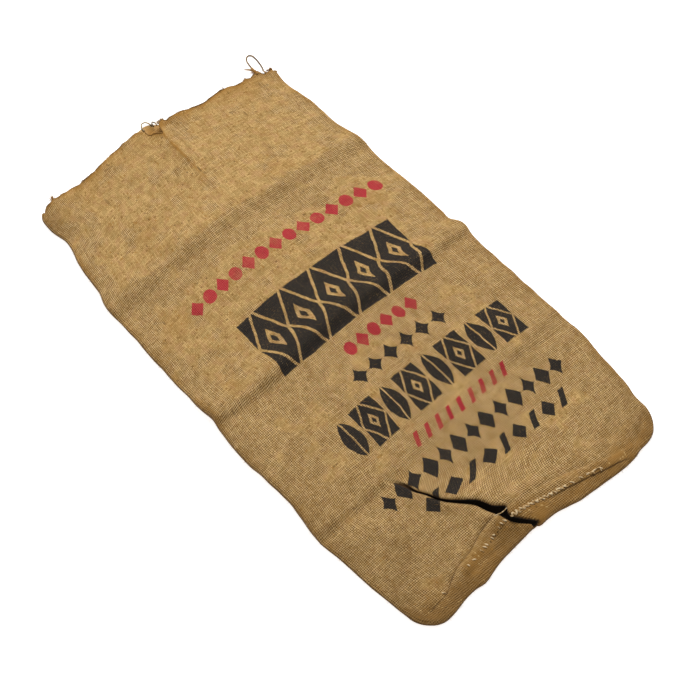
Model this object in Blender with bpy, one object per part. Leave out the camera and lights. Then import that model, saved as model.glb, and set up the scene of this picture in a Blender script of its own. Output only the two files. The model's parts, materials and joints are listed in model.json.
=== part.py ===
"""An empty hessian sack lying flat: one folded and sewn cloth bag with an open mouth, and a loose yarn.

Metres, +Z up. +X runs across the sack and +Y towards its mouth. The origin is under the middle of the
sack, on the surface that it lies on. The tables are in millimetres, seen from above.
"""

import math
from typing import NamedTuple

import bmesh
import bpy
import numpy as np
from mathutils import Vector

MM = 0.001

# The cloth, and how far the two layers of the empty bag lie apart
CLOTH = 1.5 * MM
LOFT = 9.0 * MM  # back layer to front layer, middle to middle, where the bag lies flattest
BACK_Z = CLOTH / 2
FRONT_Z = BACK_Z + LOFT
LOWEST_FRONT = FRONT_Z - 6.5 * MM

# The folds along the sides and the bottom
FOLD_BULGE = 5.0 * MM  # how far a fold reaches out from where the layers start to curve
FOLD_TURNS = (45, 90, 135, 180)  # degrees round the fold, from the front layer to the back one
FLAT_BORDER = 8.0 * MM  # flat ring of the back layer beside the fold
HALF_ARC = 1 - math.sqrt(0.5)  # inset of the middle of a quarter circle, in radii

# The grid of the front layer, drawn closer together at some places: place, reach, boost
WIDTH, LENGTH = 560.0, 1020.0
COLUMNS, ROWS = 31, 51
PLEAT_COLUMN = -72.0
COLUMN_SPOTS = ((PLEAT_COLUMN, 30, 2.6), (12, 18, 2.0))
ROW_SPOTS = ((-475, 50, 1.1), (-400, 60, 0.6), (-12, 38, 1.6), (262, 28, 1.0), (510, 25, 0.8))


class Corner(NamedTuple):
    """How round a corner of the sack lies."""

    side: str
    end: str
    radius: float


CORNERS = (
    Corner("left", "bottom", 42),
    Corner("right", "bottom", 42),
    Corner("left", "mouth", 26),
    Corner("right", "mouth", 14),
)


class Side(NamedTuple):
    """Where the two long sides lie at one height of the sack."""

    y: float
    left: float
    right: float


SIDES = (
    Side(-520, -254, 254),
    Side(-460, -262, 253),
    Side(-430, -266, 255),
    Side(-400, -270, 260),
    Side(-350, -275, 265),
    Side(-300, -281, 274),
    Side(-250, -275, 273),
    Side(-200, -274, 273),
    Side(-140, -279, 274),
    Side(-60, -277, 275),
    Side(-32, -273, 277),
    Side(-12, -275, 279),
    Side(8, -276, 269),
    Side(30, -276, 271),
    Side(120, -277, 271),
    Side(200, -275, 269),
    Side(245, -276, 271),
    Side(280, -268, 264),
    Side(350, -260, 263),
    Side(400, -248, 260),
    Side(440, -255, 257),
    Side(520, -254, 265),
)


class End(NamedTuple):
    """Where the bottom fold and the mouth edge of each layer lie at one place across the sack."""

    x: float
    bottom: float
    front_mouth: float
    back_mouth: float


ENDS = (
    End(-260, -522, 484, 486),
    End(-210, -521, 490, 492),
    End(-160, -514, 491, 494),
    End(-110, -507, 501, 502),
    End(-60, -501, 512, 513),
    End(-20, -498, 516, 524),
    End(4, -501.5, 515, 526),
    End(14, -503.5, 512, 521),
    End(25, -505, 508, 515),
    End(35, -507, 510, 513),
    End(45, -509, 509, 512),
    End(65, -512, 505, 508),
    End(110, -512, 495, 498),
    End(160, -513, 497, 496),
    End(190, -510, 496, 494),
    End(205, -508.5, 494, 492),
    End(213, -508, 489, 491),
    End(240, -505, 484, 488),
    End(262, -503, 486, 487),
)


class Crease(NamedTuple):
    """A crease across the sack from being stored folded: its crest, and how each side of it falls away."""

    crest: tuple  # y of the crest at each of CREST_X
    height: tuple  # its height there
    shoulder: float  # how far the crest stays level towards the bottom
    fall: float  # and where that steep side ends
    slope: float  # reach of its gentle side, towards the mouth


CREST_X = (-280, -190, -80, 0, 100, 280)
CREASES = (
    Crease((243, 250, 262, 265, 262, 253), (6, 7, 7, 7, 7, 5), shoulder=3, fall=34, slope=50),
    Crease((-35, -32, -21, -12, -14, -11), (10, 12, 12, 12, 12, 9), shoulder=2, fall=25, slope=42),
    Crease((-293, -292, -281, -271, -262, -248), (5, 5, 2.5, 2, 3, 4), shoulder=1, fall=17, slope=40),
)


class Ridge(NamedTuple):
    """The crease that runs down the middle of the front layer from the mouth."""

    y: float
    x: float
    height: float


RIDGE = (Ridge(100, -2, 0), Ridge(220, 3, 3), Ridge(380, 10, 7), Ridge(530, 11, 12))
RIDGE_CREST = 12.0  # reach of the sharp crest
RIDGE_SWELL = 62.0  # reach of the soft rise under it
NOTCH_FADE = 62.0  # how far into the cloth the notch draws the grid down


class Notch(NamedTuple):
    """How far the mouth's front edge dips at one place, where the middle crease meets it."""

    x: float
    depth: float


NOTCH = (
    Notch(-22, 0),
    Notch(-12, 10),
    Notch(-6, 19),
    Notch(2, 26),
    Notch(9, 31),
    Notch(13, 32),
    Notch(16, 17),
    Notch(20, 5),
    Notch(26, 0),
)


class Pleat(NamedTuple):
    """One place along the diagonal pleat near the bottom: its hollow and the cloth heaped beside it."""

    x: float
    y: float
    hollow: float
    near_ridge: float
    far_swell: float


PLEAT = (
    Pleat(-140, -305, 0, 0, 0),
    Pleat(-113, -350, 3, 3, 3),
    Pleat(-80, -400, 5, 7, 7),
    Pleat(-52, -442, 6, 9, 10),
    Pleat(-35, -472, 6, 6, 10),
    Pleat(-11, -507, 4, 4, 8),
)
HOLLOW_REACH = 6.0
NEAR_RIDGE_AT, NEAR_RIDGE_REACH = -12.0, 8.0
FAR_SWELL_AT, FAR_SWELL_REACH = 18.0, 14.0
COLUMN_LEAN_REACH = 200.0  # how far from the pleat the columns of the grid lean with it
COLUMN_LEAN_FADE = 90.0  # how fast the lean fades above the pleat's upper end


class Seam(NamedTuple):
    """The bottom seam, rolled up on to the front layer."""

    x: float
    y: float


SEAM = (
    Seam(-235, -497),
    Seam(-180, -483),
    Seam(-85, -466),
    Seam(-10, -464),
    Seam(64, -476),
    Seam(112, -487),
    Seam(170, -501),
)
SEAM_HEIGHT, SEAM_REACH = 2.5, 6.0
SEAM_HALF_LENGTH, SEAM_FADE = 200.0, 25.0


class Wave(NamedTuple):
    """A soft wave of slack cloth: height, turns per metre across and along the sack, and its phase."""

    height: float
    across: float
    along: float
    phase: float


WAVES = (
    Wave(height=0.9, across=2.3, along=1.6, phase=0.10),
    Wave(height=0.7, across=-3.9, along=2.7, phase=0.55),
    Wave(height=0.5, across=6.1, along=4.9, phase=0.30),
    Wave(height=0.4, across=-1.7, along=8.3, phase=0.85),
)

# The loose yarn at the mouth's right corner
YARN_RADIUS = 1.1 * MM
YARN_GAP = 0.8 * MM
YARN_STEPS = 46
YARN_OUT_X, YARN_BACK_X = 231.5, 243.0  # where it leaves the mouth edge and where it comes back


class YarnPoint(NamedTuple):
    """A place on the yarn's middle line."""

    x: float
    y: float
    z: float


YARN_LOOP = (
    YarnPoint(232.6, 495, 6.4),
    YarnPoint(234.2, 507, 2.8),
    YarnPoint(236.2, 520, 1.3),
    YarnPoint(238.8, 530, 1.3),
    YarnPoint(243.2, 536.4, 1.3),
    YarnPoint(249.4, 538, 1.3),
    YarnPoint(253.4, 534, 1.3),
    YarnPoint(254.4, 525, 1.3),
    YarnPoint(252.8, 511, 1.4),
    YarnPoint(249.6, 498, 3.2),
    YarnPoint(246.2, 491, 6.4),
)

HESSIAN_COLOUR = (0.36, 0.25, 0.12, 1.0)
YARN_COLOUR = (0.46, 0.31, 0.13, 1.0)


class Curve:
    """A smooth curve through a table's rows: a Hermite spline with averaged slopes."""

    def __init__(self, places, values):
        self.places = np.asarray(places, float)
        self.values = np.asarray(values, float)
        self.slopes = np.gradient(self.values, self.places)

    def __call__(self, where):
        where = min(max(where, self.places[0]), self.places[-1])
        i = min(int(np.searchsorted(self.places, where, side="right")) - 1, len(self.places) - 2)
        step = self.places[i + 1] - self.places[i]
        t = (where - self.places[i]) / step
        return float(
            (2 * t**3 - 3 * t**2 + 1) * self.values[i]
            + (t**3 - 2 * t**2 + t) * step * self.slopes[i]
            + (3 * t**2 - 2 * t**3) * self.values[i + 1]
            + (t**3 - t**2) * step * self.slopes[i + 1]
        )


def curve_of(table, key, name):
    """The curve of one named column of a table over another."""
    rows = sorted(table, key=lambda row: getattr(row, key))
    return Curve([getattr(row, key) for row in rows], [getattr(row, name) for row in rows])


SIDE_X = {side: curve_of(SIDES, "y", side) for side in ("left", "right")}
BOTTOM_Y = curve_of(ENDS, "x", "bottom")
FRONT_MOUTH_Y = curve_of(ENDS, "x", "front_mouth")
BACK_MOUTH_Y = curve_of(ENDS, "x", "back_mouth")
CREST_Y = [Curve(CREST_X, row.crest) for row in CREASES]
CREST_Z = [Curve(CREST_X, row.height) for row in CREASES]
RIDGE_X = curve_of(RIDGE, "y", "x")
RIDGE_Z = curve_of(RIDGE, "y", "height")
PLEAT_X = curve_of(PLEAT, "y", "x")
NOTCH_DEPTH = curve_of(NOTCH, "x", "depth")
SEAM_Y = curve_of(SEAM, "x", "y")
END_Y = {"bottom": BOTTOM_Y, "mouth": FRONT_MOUTH_Y}
RADIUS = {(row.side, row.end): row.radius for row in CORNERS}


def clear_scene():
    for thing in list(bpy.data.objects):
        bpy.data.objects.remove(thing, do_unlink=True)


def matt(name, colour):
    material = bpy.data.materials.new(name)
    material.use_nodes = True
    shader = material.node_tree.nodes["Principled BSDF"]
    shader.inputs["Base Color"].default_value = colour
    shader.inputs["Roughness"].default_value = 0.95
    shader.inputs["Metallic"].default_value = 0.0
    return material


def bell(distance, reach):
    return math.exp(-((distance / reach) ** 2))


def eased(low, high, value):
    """0 below low, 1 above high and a soft step between them."""
    t = min(max((value - low) / (high - low), 0.0), 1.0)
    return t * t * (3 - 2 * t)


def crowded(length, spots):
    """A function that moves evenly spaced fractions of a length closer together around its spots."""
    places = np.linspace(-length / 2, length / 2, 1001)
    density = 1 + sum(boost * np.exp(-(((places - place) / reach) ** 2)) for place, reach, boost in spots)
    travelled = np.concatenate(([0.0], np.cumsum((density[1:] + density[:-1]) / 2)))
    return lambda fraction: float(np.interp(fraction * travelled[-1], travelled, places)) / length + 0.5


def corner_inset(along, radius):
    """How far a rounded corner draws an edge in, at this distance from the side that it meets."""
    if along >= radius:
        return 0.0
    return radius - math.sqrt(radius**2 - (radius - along) ** 2)


def side_point(side, v):
    """A point of the front layer's left or right edge, from the bottom corner to the mouth corner."""
    outwards = -1 if side == "left" else 1
    low = BOTTOM_Y(outwards * WIDTH / 2) + FOLD_BULGE / MM
    high = FRONT_MOUTH_Y(outwards * WIDTH / 2)
    start = low + HALF_ARC * RADIUS[side, "bottom"]
    stop = high - HALF_ARC * RADIUS[side, "mouth"]
    y = start + (stop - start) * v
    inset = corner_inset(y - low, RADIUS[side, "bottom"]) + corner_inset(high - y, RADIUS[side, "mouth"])
    return np.array((SIDE_X[side](y) - outwards * (FOLD_BULGE / MM + inset), y))


CORNER_POINT = {
    (side, end): side_point(side, v)
    for side in ("left", "right")
    for end, v in (("bottom", 0.0), ("mouth", 1.0))
}


def end_point(end, u):
    """A point of the front layer's bottom or mouth edge, from left to right."""
    start, stop = CORNER_POINT["left", end][0], CORNER_POINT["right", end][0]
    x = start + (stop - start) * u
    left, right = RADIUS["left", end], RADIUS["right", end]
    inset = corner_inset(x - start + HALF_ARC * left, left) + corner_inset(stop - x + HALF_ARC * right, right)
    y = END_Y[end](x)
    return np.array((x, y + FOLD_BULGE / MM + inset if end == "bottom" else y - inset))


def plan(u, v):
    """Where a place of the front layer lies, as x and y: a sheet spanned between its four edges."""
    spanned = (1 - u) * side_point("left", v) + u * side_point("right", v)
    spanned += (1 - v) * end_point("bottom", u) + v * end_point("mouth", u)
    for (side, end), corner in CORNER_POINT.items():
        spanned -= (u if side == "right" else 1 - u) * (v if end == "mouth" else 1 - v) * corner
    return spanned


def crease_height(x, y):
    """The cross creases: each falls steeply towards the bottom of the sack and is lower at the sides."""
    height = 0.0
    for crease, crest_y, crest_z in zip(CREASES, CREST_Y, CREST_Z):
        above = y - crest_y(x)
        steep = 1 - eased(crease.shoulder, crease.fall, -above)
        height += crest_z(x) * (bell(above, crease.slope) if above > 0 else steep)
    return height


def ridge_height(x, y):
    """The middle ridge: a sharp crest on a soft swell."""
    aside = abs(x - RIDGE_X(y))
    return max(0.0, RIDGE_Z(y)) * (0.45 * math.exp(-aside / RIDGE_CREST) + 0.55 * bell(aside, RIDGE_SWELL))


def nearest_on_pleat(x, y):
    """How far a place lies from the pleat's line, more than 0 towards the mouth, and the pleat there."""
    found = []
    for first, second in zip(PLEAT, PLEAT[1:]):
        run = np.array(second[:2]) - np.array(first[:2])
        offset = np.array((x, y)) - np.array(first[:2])
        t = min(max(float(offset @ run / (run @ run)), 0.0), 1.0)
        distance = float(np.hypot(*(offset - t * run)))
        side = math.copysign(1.0, run[0] * offset[1] - run[1] * offset[0])
        found.append((distance, side, Pleat(*(a + (b - a) * t for a, b in zip(first, second)))))
    distance, side, pleat = min(found)
    return side * distance, pleat


def pleat_height(x, y):
    """The diagonal pleat: a hollow with cloth heaped on both of its sides."""
    aside, pleat = nearest_on_pleat(x, y)
    heaped = pleat.near_ridge * bell(aside - NEAR_RIDGE_AT, NEAR_RIDGE_REACH)
    heaped += pleat.far_swell * bell(aside - FAR_SWELL_AT, FAR_SWELL_REACH)
    return heaped - pleat.hollow * bell(aside, HOLLOW_REACH)


def seam_height(x, y):
    """The low ridge of the bottom seam."""
    return SEAM_HEIGHT * bell(max(abs(x) - SEAM_HALF_LENGTH, 0), SEAM_FADE) * bell(y - SEAM_Y(x), SEAM_REACH)


def slack_height(x, y):
    """The soft waves of slack cloth."""
    turns = [(wave.across * x + wave.along * y) * MM + wave.phase for wave in WAVES]
    return sum(wave.height * math.sin(2 * math.pi * turn) for wave, turn in zip(WAVES, turns))


def front_height(x, y):
    """The middle of the front layer above the surface, in metres, at a place in millimetres."""
    raised = crease_height(x, y) + ridge_height(x, y) + seam_height(x, y)
    rise = raised + pleat_height(x, y) + slack_height(x, y)
    return max(FRONT_Z + rise * MM, LOWEST_FRONT)


def notch(x):
    """How far the front layer's mouth edge dips where the middle ridge meets it."""
    return max(0.0, NOTCH_DEPTH(x))


def column_lean(x, y):
    """How far a column of the grid moves aside, so that one of them runs along the pleat."""
    beside = max(0.0, 1 - ((x - PLEAT_COLUMN) / COLUMN_LEAN_REACH) ** 2) ** 2
    above = max(0.0, y - PLEAT[0].y)
    return (PLEAT_X(y) - PLEAT_COLUMN) * beside * bell(above, COLUMN_LEAN_FADE)


def front_layer(bm):
    """A grid shaped to the front layer's plan and folds. Returns its side and bottom edges, one chain."""
    bmesh.ops.create_grid(bm, x_segments=COLUMNS, y_segments=ROWS, size=0.5)
    across, along = crowded(WIDTH, COLUMN_SPOTS), crowded(LENGTH, ROW_SPOTS)
    top = max(vert.co.y for vert in bm.verts)
    mouth_row = {vert for vert in bm.verts if top - vert.co.y < 0.5 / ROWS}
    for vert in bm.verts:
        u, v = across(vert.co.x + 0.5), along(vert.co.y + 0.5)
        lean = column_lean((u - 0.5) * WIDTH, (v - 0.5) * LENGTH) / WIDTH
        x, y = plan(u + lean, v)
        y -= notch(x) * bell((1 - v) * LENGTH, NOTCH_FADE)
        vert.co = (x * MM, y * MM, front_height(x, y))
    return [edge for edge in bm.edges if edge.is_boundary and not set(edge.verts) <= mouth_row]


def outward_directions(chain):
    """For each point of the chain, the level direction that points out of the sack."""
    beside = {}
    for edge in chain:
        for vert in edge.verts:
            beside.setdefault(vert, []).append(edge.other_vert(vert))
    directions = {}
    for vert, others in beside.items():
        first, last = others if len(others) == 2 else (others[0], vert)
        run = first.co - last.co
        across = Vector((run.y, -run.x, 0.0)).normalized()
        directions[vert] = across if across.dot(vert.co) > 0 else -across
    return directions


def extrude_chain(bm, chain):
    """Extrudes the chain once and returns the new chain and its points."""
    grown = bmesh.ops.extrude_edge_only(bm, edges=chain)["geom"]
    points = {item for item in grown if isinstance(item, bmesh.types.BMVert)}
    edges = [item for item in grown if isinstance(item, bmesh.types.BMEdge) and set(item.verts) <= points]
    return edges, points


def fold_under(bm, chain):
    """Carries the side and bottom edges round their folds and a little way along the back layer."""
    outward = bm.verts.layers.float_vector.new("outward")
    start = bm.verts.layers.float_vector.new("start")
    for vert, direction in outward_directions(chain).items():
        vert[outward] = direction
        vert[start] = vert.co
    for turn in FOLD_TURNS:
        chain, points = extrude_chain(bm, chain)
        angle = math.radians(turn)
        for vert in points:
            middle_z, half = (vert[start].z + BACK_Z) / 2, (vert[start].z - BACK_Z) / 2
            vert.co = vert[start] + vert[outward] * FOLD_BULGE * math.sin(angle)
            vert.co.z = middle_z + half * math.cos(angle)
    chain, points = extrude_chain(bm, chain)
    for vert in points:
        vert.co = vert[start] - vert[outward] * FLAT_BORDER
        vert.co.z = BACK_Z
    return chain, points


def back_layer(bm, chain, points):
    """Closes the back layer flat between its border and its mouth edge."""
    ends = [vert for vert in points if sum(vert in edge.verts for edge in chain) == 1]
    left, right = sorted(ends, key=lambda vert: vert.co.x)
    steps = COLUMNS // 2
    mouth_line = [left]
    for step in range(1, steps):
        x = left.co.x + (right.co.x - left.co.x) * step / steps
        mouth_line.append(bm.verts.new((x, BACK_MOUTH_Y(x / MM) * MM, BACK_Z)))
    mouth_line.append(right)
    edges = [bm.edges.new(pair) for pair in zip(mouth_line, mouth_line[1:])]
    bmesh.ops.triangle_fill(bm, use_beauty=True, use_dissolve=False, edges=chain + edges)


def sack_cloth():
    """The bag: a thin sheet of front layer, folds and back layer, thickened to the cloth's wall."""
    bm = bmesh.new()
    chain, points = fold_under(bm, front_layer(bm))
    back_layer(bm, chain, points)
    bmesh.ops.recalc_face_normals(bm, faces=bm.faces)
    mesh = bpy.data.meshes.new("sack_cloth")
    bm.to_mesh(mesh)
    bm.free()
    mesh.shade_smooth()
    mesh.materials.append(matt("hessian", HESSIAN_COLOUR))
    cloth = bpy.data.objects.new("sack_cloth", mesh)
    bpy.context.scene.collection.objects.link(cloth)
    wall = cloth.modifiers.new("wall", "SOLIDIFY")
    wall.thickness = CLOTH
    wall.offset = 0.0
    wall.use_even_offset = True


def yarn_end(x):
    """Where the yarn meets the front layer's mouth edge."""
    y = FRONT_MOUTH_Y(x)
    return YarnPoint(x, y + YARN_GAP / MM, front_height(x, y) / MM)


def yarn_route():
    """The yarn's middle line: out of the mouth edge, down to the surface, round and back."""
    points = np.array([yarn_end(YARN_OUT_X), *YARN_LOOP, yarn_end(YARN_BACK_X)]) * MM
    travelled = np.concatenate(([0.0], np.cumsum(np.linalg.norm(np.diff(points, axis=0), axis=1))))
    axes = [Curve(travelled, points[:, axis]) for axis in range(3)]
    return [[curve(where) for curve in axes] for where in np.linspace(0.0, travelled[-1], YARN_STEPS)]


def mouth_yarn():
    """The loose yarn that stands out in a loop from the mouth's right corner."""
    curve = bpy.data.curves.new("mouth_yarn", "CURVE")
    curve.dimensions = "3D"
    curve.bevel_depth = YARN_RADIUS
    curve.bevel_resolution = 2
    curve.use_fill_caps = True
    route = yarn_route()
    spline = curve.splines.new("POLY")
    spline.points.add(len(route) - 1)
    for point, place in zip(spline.points, route):
        point.co = (*place, 1.0)
    curve.materials.append(matt("jute yarn", YARN_COLOUR))
    yarn = bpy.data.objects.new("mouth_yarn", curve)
    bpy.context.scene.collection.objects.link(yarn)


clear_scene()
sack_cloth()
mouth_yarn()
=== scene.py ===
# %% [markdown]
# # An empty hessian sack, lying flat
# The sack is already there as two plain solids, which say its real size, how it lies and how it collides.
# This lesson makes what the eye sees: jute cloth with its weave, creases, sewing, print and loose yarns,
# each piece fitted to the plain one, in metres, with +Y towards the mouth and +Z up.

# %% Load the plain sack
import json
import math
from typing import NamedTuple

import bmesh
import bpy
import numpy as np
from mathutils import Matrix, Vector

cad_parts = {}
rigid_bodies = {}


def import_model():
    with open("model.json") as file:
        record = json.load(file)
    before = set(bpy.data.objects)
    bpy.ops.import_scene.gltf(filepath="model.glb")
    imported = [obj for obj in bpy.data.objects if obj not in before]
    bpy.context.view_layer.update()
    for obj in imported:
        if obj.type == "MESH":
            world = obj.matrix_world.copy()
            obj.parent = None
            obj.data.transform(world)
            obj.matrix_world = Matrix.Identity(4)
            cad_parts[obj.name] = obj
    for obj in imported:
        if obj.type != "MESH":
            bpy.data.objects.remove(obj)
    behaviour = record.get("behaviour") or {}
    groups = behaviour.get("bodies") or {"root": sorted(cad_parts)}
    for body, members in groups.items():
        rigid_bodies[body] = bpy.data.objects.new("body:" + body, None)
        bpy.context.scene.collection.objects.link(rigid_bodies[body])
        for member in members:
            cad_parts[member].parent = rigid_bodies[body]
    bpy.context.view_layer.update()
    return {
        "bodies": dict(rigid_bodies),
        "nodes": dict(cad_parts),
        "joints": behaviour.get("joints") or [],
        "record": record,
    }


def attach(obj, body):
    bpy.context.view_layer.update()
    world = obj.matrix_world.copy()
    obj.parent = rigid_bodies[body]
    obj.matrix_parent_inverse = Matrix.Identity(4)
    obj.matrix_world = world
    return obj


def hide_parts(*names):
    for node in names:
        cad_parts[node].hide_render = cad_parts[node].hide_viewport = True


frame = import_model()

# %% [markdown]
# ## The camera
# A camera is a place, a direction and a lens. Its focal length is a ratio: how many picture widths away a
# thing has to be to fill the frame. The picture looks down on the sack from past its lower left corner.

# %% Camera
PICTURE = 700  # pixels across the picture
FOCAL = 1480  # pixels: the focal length in the same unit
SENSOR = 36.0  # millimetres
CAMERA_PLACE = (-0.8127, -1.0819, 2.0155)
LOOK_DOWN = math.radians(57.624)
LOOK_ROUND = math.radians(38.035)  # from +Y towards +X
ROLL = math.radians(-2.715)


def camera_axes():
    """The camera's right, up and backward directions."""
    level = Vector((math.sin(LOOK_ROUND), math.cos(LOOK_ROUND), 0.0))
    ahead = level * math.cos(LOOK_DOWN) - Vector((0.0, 0.0, math.sin(LOOK_DOWN)))
    right = Vector((math.cos(LOOK_ROUND), -math.sin(LOOK_ROUND), 0.0))
    up = right.cross(ahead)
    rolled_right = right * math.cos(ROLL) + up * math.sin(ROLL)
    rolled_up = up * math.cos(ROLL) - right * math.sin(ROLL)
    return rolled_right, rolled_up, -ahead


camera = bpy.data.objects.new("camera", bpy.data.cameras.new("camera"))
camera.data.sensor_width = SENSOR
camera.data.lens = SENSOR * FOCAL / PICTURE
camera.matrix_world = Matrix.Translation(CAMERA_PLACE) @ Matrix(camera_axes()).transposed().to_4x4()
bpy.context.scene.collection.objects.link(camera)
bpy.context.scene.camera = camera
bpy.context.scene.view_settings.view_transform = "Standard"
print(f"lens {camera.data.lens:.1f} mm")

# %% [markdown]
# ## The sack's sizes
# Cloth that lies on a table is a drawing with heights. So the sack is described from above, in millimetres:
# where its sides, bottom and mouth run, then each crease with its place, height and reach. Short tables
# with named columns keep every number where a maker would look for it.

# %% Cloth and layers
MM = 0.001
CLOTH = 1.5 * MM
LOFT = 9.0 * MM  # back layer to front layer, middle to middle, where the bag lies flattest
BACK_Z = CLOTH / 2
FRONT_Z = BACK_Z + LOFT
LOWEST_FRONT = FRONT_Z - 6.5 * MM  # no hollow of the front layer is deeper, so the inside stays open
FOLD_BULGE = 5.0 * MM  # how far a fold stands out past the front layer's edge
FLAT_BORDER = 8.0 * MM  # how far the cloth runs on, flat under the sack, before the back layer closes it
WIDTH, LENGTH = 560.0, 1020.0
print(f"cloth {CLOTH / MM} mm thick, {WIDTH:g} x {LENGTH:g} mm laid flat")

# %% Corners and sides
HALF_ARC = 1 - math.sqrt(0.5)  # how far in the middle of a rounded corner lies, as a share of its radius


class Corner(NamedTuple):
    """How round a corner of the sack lies."""

    side: str
    end: str
    radius: float


CORNERS = (
    Corner("left", "bottom", 34),
    Corner("right", "bottom", 42),
    Corner("left", "mouth", 26),
    Corner("right", "mouth", 14),
)


class Side(NamedTuple):
    """Where the two long sides lie at one height of the sack."""

    y: float
    left: float
    right: float


SIDES = (
    Side(-520, -254, 254),
    Side(-460, -262, 251.5),
    Side(-430, -266, 254),
    Side(-400, -270, 260),
    Side(-350, -275, 265),
    Side(-300, -281, 274),
    Side(-250, -275, 273),
    Side(-200, -274, 273),
    Side(-140, -279, 274),
    Side(-60, -277, 275),
    Side(-32, -273, 277),
    Side(-12, -275, 279),
    Side(8, -276, 269),
    Side(30, -276, 271),
    Side(120, -277, 271),
    Side(200, -275, 269),
    Side(245, -276, 271),
    Side(280, -268, 264),
    Side(350, -260, 263),
    Side(400, -248, 260),
    Side(440, -255, 255.5),
    Side(465, -255, 259.5),
    Side(520, -254, 263),
)
print("the sides are measured at", len(SIDES), "heights")


# %% Bottom and mouth
class End(NamedTuple):
    """Where the bottom fold and the mouth edge of each layer lie at one place across the sack."""

    x: float
    bottom: float
    front_mouth: float
    back_mouth: float


ENDS = (
    End(-260, -522, 484, 486),
    End(-210, -521, 490, 492),
    End(-170, -513.5, 490.5, 493.5),
    End(-153, -513, 492, 495),
    End(-140, -515, 494, 497),
    End(-123, -511, 498, 500),
    End(-105, -506.5, 502, 503),
    End(-60, -501, 512, 513),
    End(-20, -498, 516, 524),
    End(-6, -498.5, 516, 526),
    End(2, -501.5, 515.5, 527.5),
    End(14, -501.2, 512, 523),
    End(22, -501.2, 507, 516),
    End(31, -501.8, 508, 511),
    End(35, -502.6, 502.5, 508),
    End(42, -504.5, 504, 508),
    End(50, -506.5, 505, 508),
    End(65, -510.5, 505, 508),
    End(80, -511.5, 501, 504),
    End(110, -513.5, 495, 498),
    End(160, -515.5, 497, 497),
    End(175, -514, 493, 494),
    End(190, -510, 488.5, 490),
    End(200, -509, 490, 491),
    End(206, -508.5, 492.5, 492),
    End(211, -508, 488, 489),
    End(219, -507.5, 488.5, 489),
    End(226, -507, 490.5, 490),
    End(231, -506, 490, 489.5),
    End(236, -505.5, 481, 482),
    End(242, -505, 477.5, 479),
    End(248, -504.5, 479, 480),
    End(256, -503.5, 480, 481),
    End(262, -503, 478, 479),
)
print("the bottom and the mouth are measured at", len(ENDS), "places across")


# %% Creases
class Crease(NamedTuple):
    """A crease across the sack from being stored folded: its crest, and how each side of it falls away."""

    crest: tuple  # y of the crest at each of CREST_X
    height: tuple  # its height there
    shoulder: float  # how far the crest stays level towards the bottom
    fall: float  # and where that steep side ends
    slope: float  # reach of its gentle side, towards the mouth


CREST_X = (-280, -190, -80, 0, 100, 280)
CREASES = (
    Crease((243, 250, 262, 265, 262, 253), (5.5, 6, 6, 6, 6, 4.5), shoulder=3, fall=34, slope=50),
    Crease((-37, -33, -22, -14, -16, -16), (8, 8.5, 8.5, 8.5, 8.5, 7), shoulder=2, fall=23, slope=42),
    Crease((-293, -292, -281, -271, -260, -242), (5, 5, 2.5, 2, 3, 4), shoulder=1, fall=17, slope=40),
)


class Ridge(NamedTuple):
    """The crease that runs down the middle of the front layer from the mouth."""

    y: float
    x: float
    height: float


RIDGE = (Ridge(100, -2, 0), Ridge(220, 3, 3), Ridge(380, 10, 7), Ridge(530, 11, 12))
RIDGE_CREST, RIDGE_SWELL = 12.0, 62.0  # how far its sharp crest and its soft swell reach
RIDGE_SHARP = 0.45  # the crest's share of the height


class Notch(NamedTuple):
    """How far the mouth's front edge dips at one place, where the middle crease meets it."""

    x: float
    depth: float


NOTCH = (
    Notch(-22, 0),
    Notch(-12, 10),
    Notch(-6, 19),
    Notch(2, 26),
    Notch(9, 31),
    Notch(13, 32),
    Notch(16, 17),
    Notch(20, 3),
    Notch(26, 0),
)
NOTCH_FADE = 62.0  # how far down the cloth the dip is felt
print(len(CREASES), "creases run across, and one down the middle")


# %% Waves and wrinkles
class Wave(NamedTuple):
    """A soft wave of slack cloth: height, turns per metre across and along the sack, and its phase."""

    height: float
    across: float
    along: float
    phase: float


WAVES = (
    Wave(height=0.9, across=2.3, along=1.6, phase=0.10),
    Wave(height=0.7, across=-3.9, along=2.7, phase=0.55),
    Wave(height=0.5, across=6.1, along=4.9, phase=0.30),
    Wave(height=0.4, across=-1.7, along=8.3, phase=0.85),
)


class Wrinkle(NamedTuple):
    """A short soft ridge, or a trough where the height is below 0, between two places."""

    x: float
    y: float
    to_x: float
    to_y: float
    height: float
    reach: float


WRINKLES = (
    Wrinkle(-243, 478, -238, 400, -2.4, 13),
    Wrinkle(-214, 470, -196, 398, 1.3, 12),
    Wrinkle(-149, 465, -146, 398, -1.2, 6),
    Wrinkle(30, 404, 178, 370, 0.9, 6),
    Wrinkle(36, 486, 50, 428, -1.3, 8),
    Wrinkle(31, 498, 33, 320, 1.7, 2.6),
    Wrinkle(22, 262, 42, 222, -1.6, 6),
    Wrinkle(4, 224, 16, 246, 1.5, 8),
    Wrinkle(30, 252, 92, 250, -1.4, 9),
    Wrinkle(-276, 104, -196, 98, -1.6, 7),
    Wrinkle(-270, 92, -205, 90, 1.0, 7),
    Wrinkle(-250, -48, -150, -42, 1.1, 8),
    Wrinkle(190, -18, 278, -14, -1.5, 7),
    Wrinkle(-280, -310, -150, -306, -1.9, 6),
    Wrinkle(120, -272, 272, -274, -1.2, 6),
    Wrinkle(-262, -336, -180, -352, 1.2, 14),
    Wrinkle(-150, -492, -78, -489, -1.8, 4),
    Wrinkle(-140, -500, -95, -498, 1.2, 5),
    Wrinkle(62, -496, 118, -485, -1.4, 4),
    Wrinkle(120, -503, 172, -495, 1.2, 5),
    Wrinkle(236, -470, 201, -495, -1.9, 4),
    Wrinkle(246, -462, 214, -478, 1.2, 6),
    Wrinkle(-232, -503, -196, -500, -1.3, 4),
)
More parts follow.
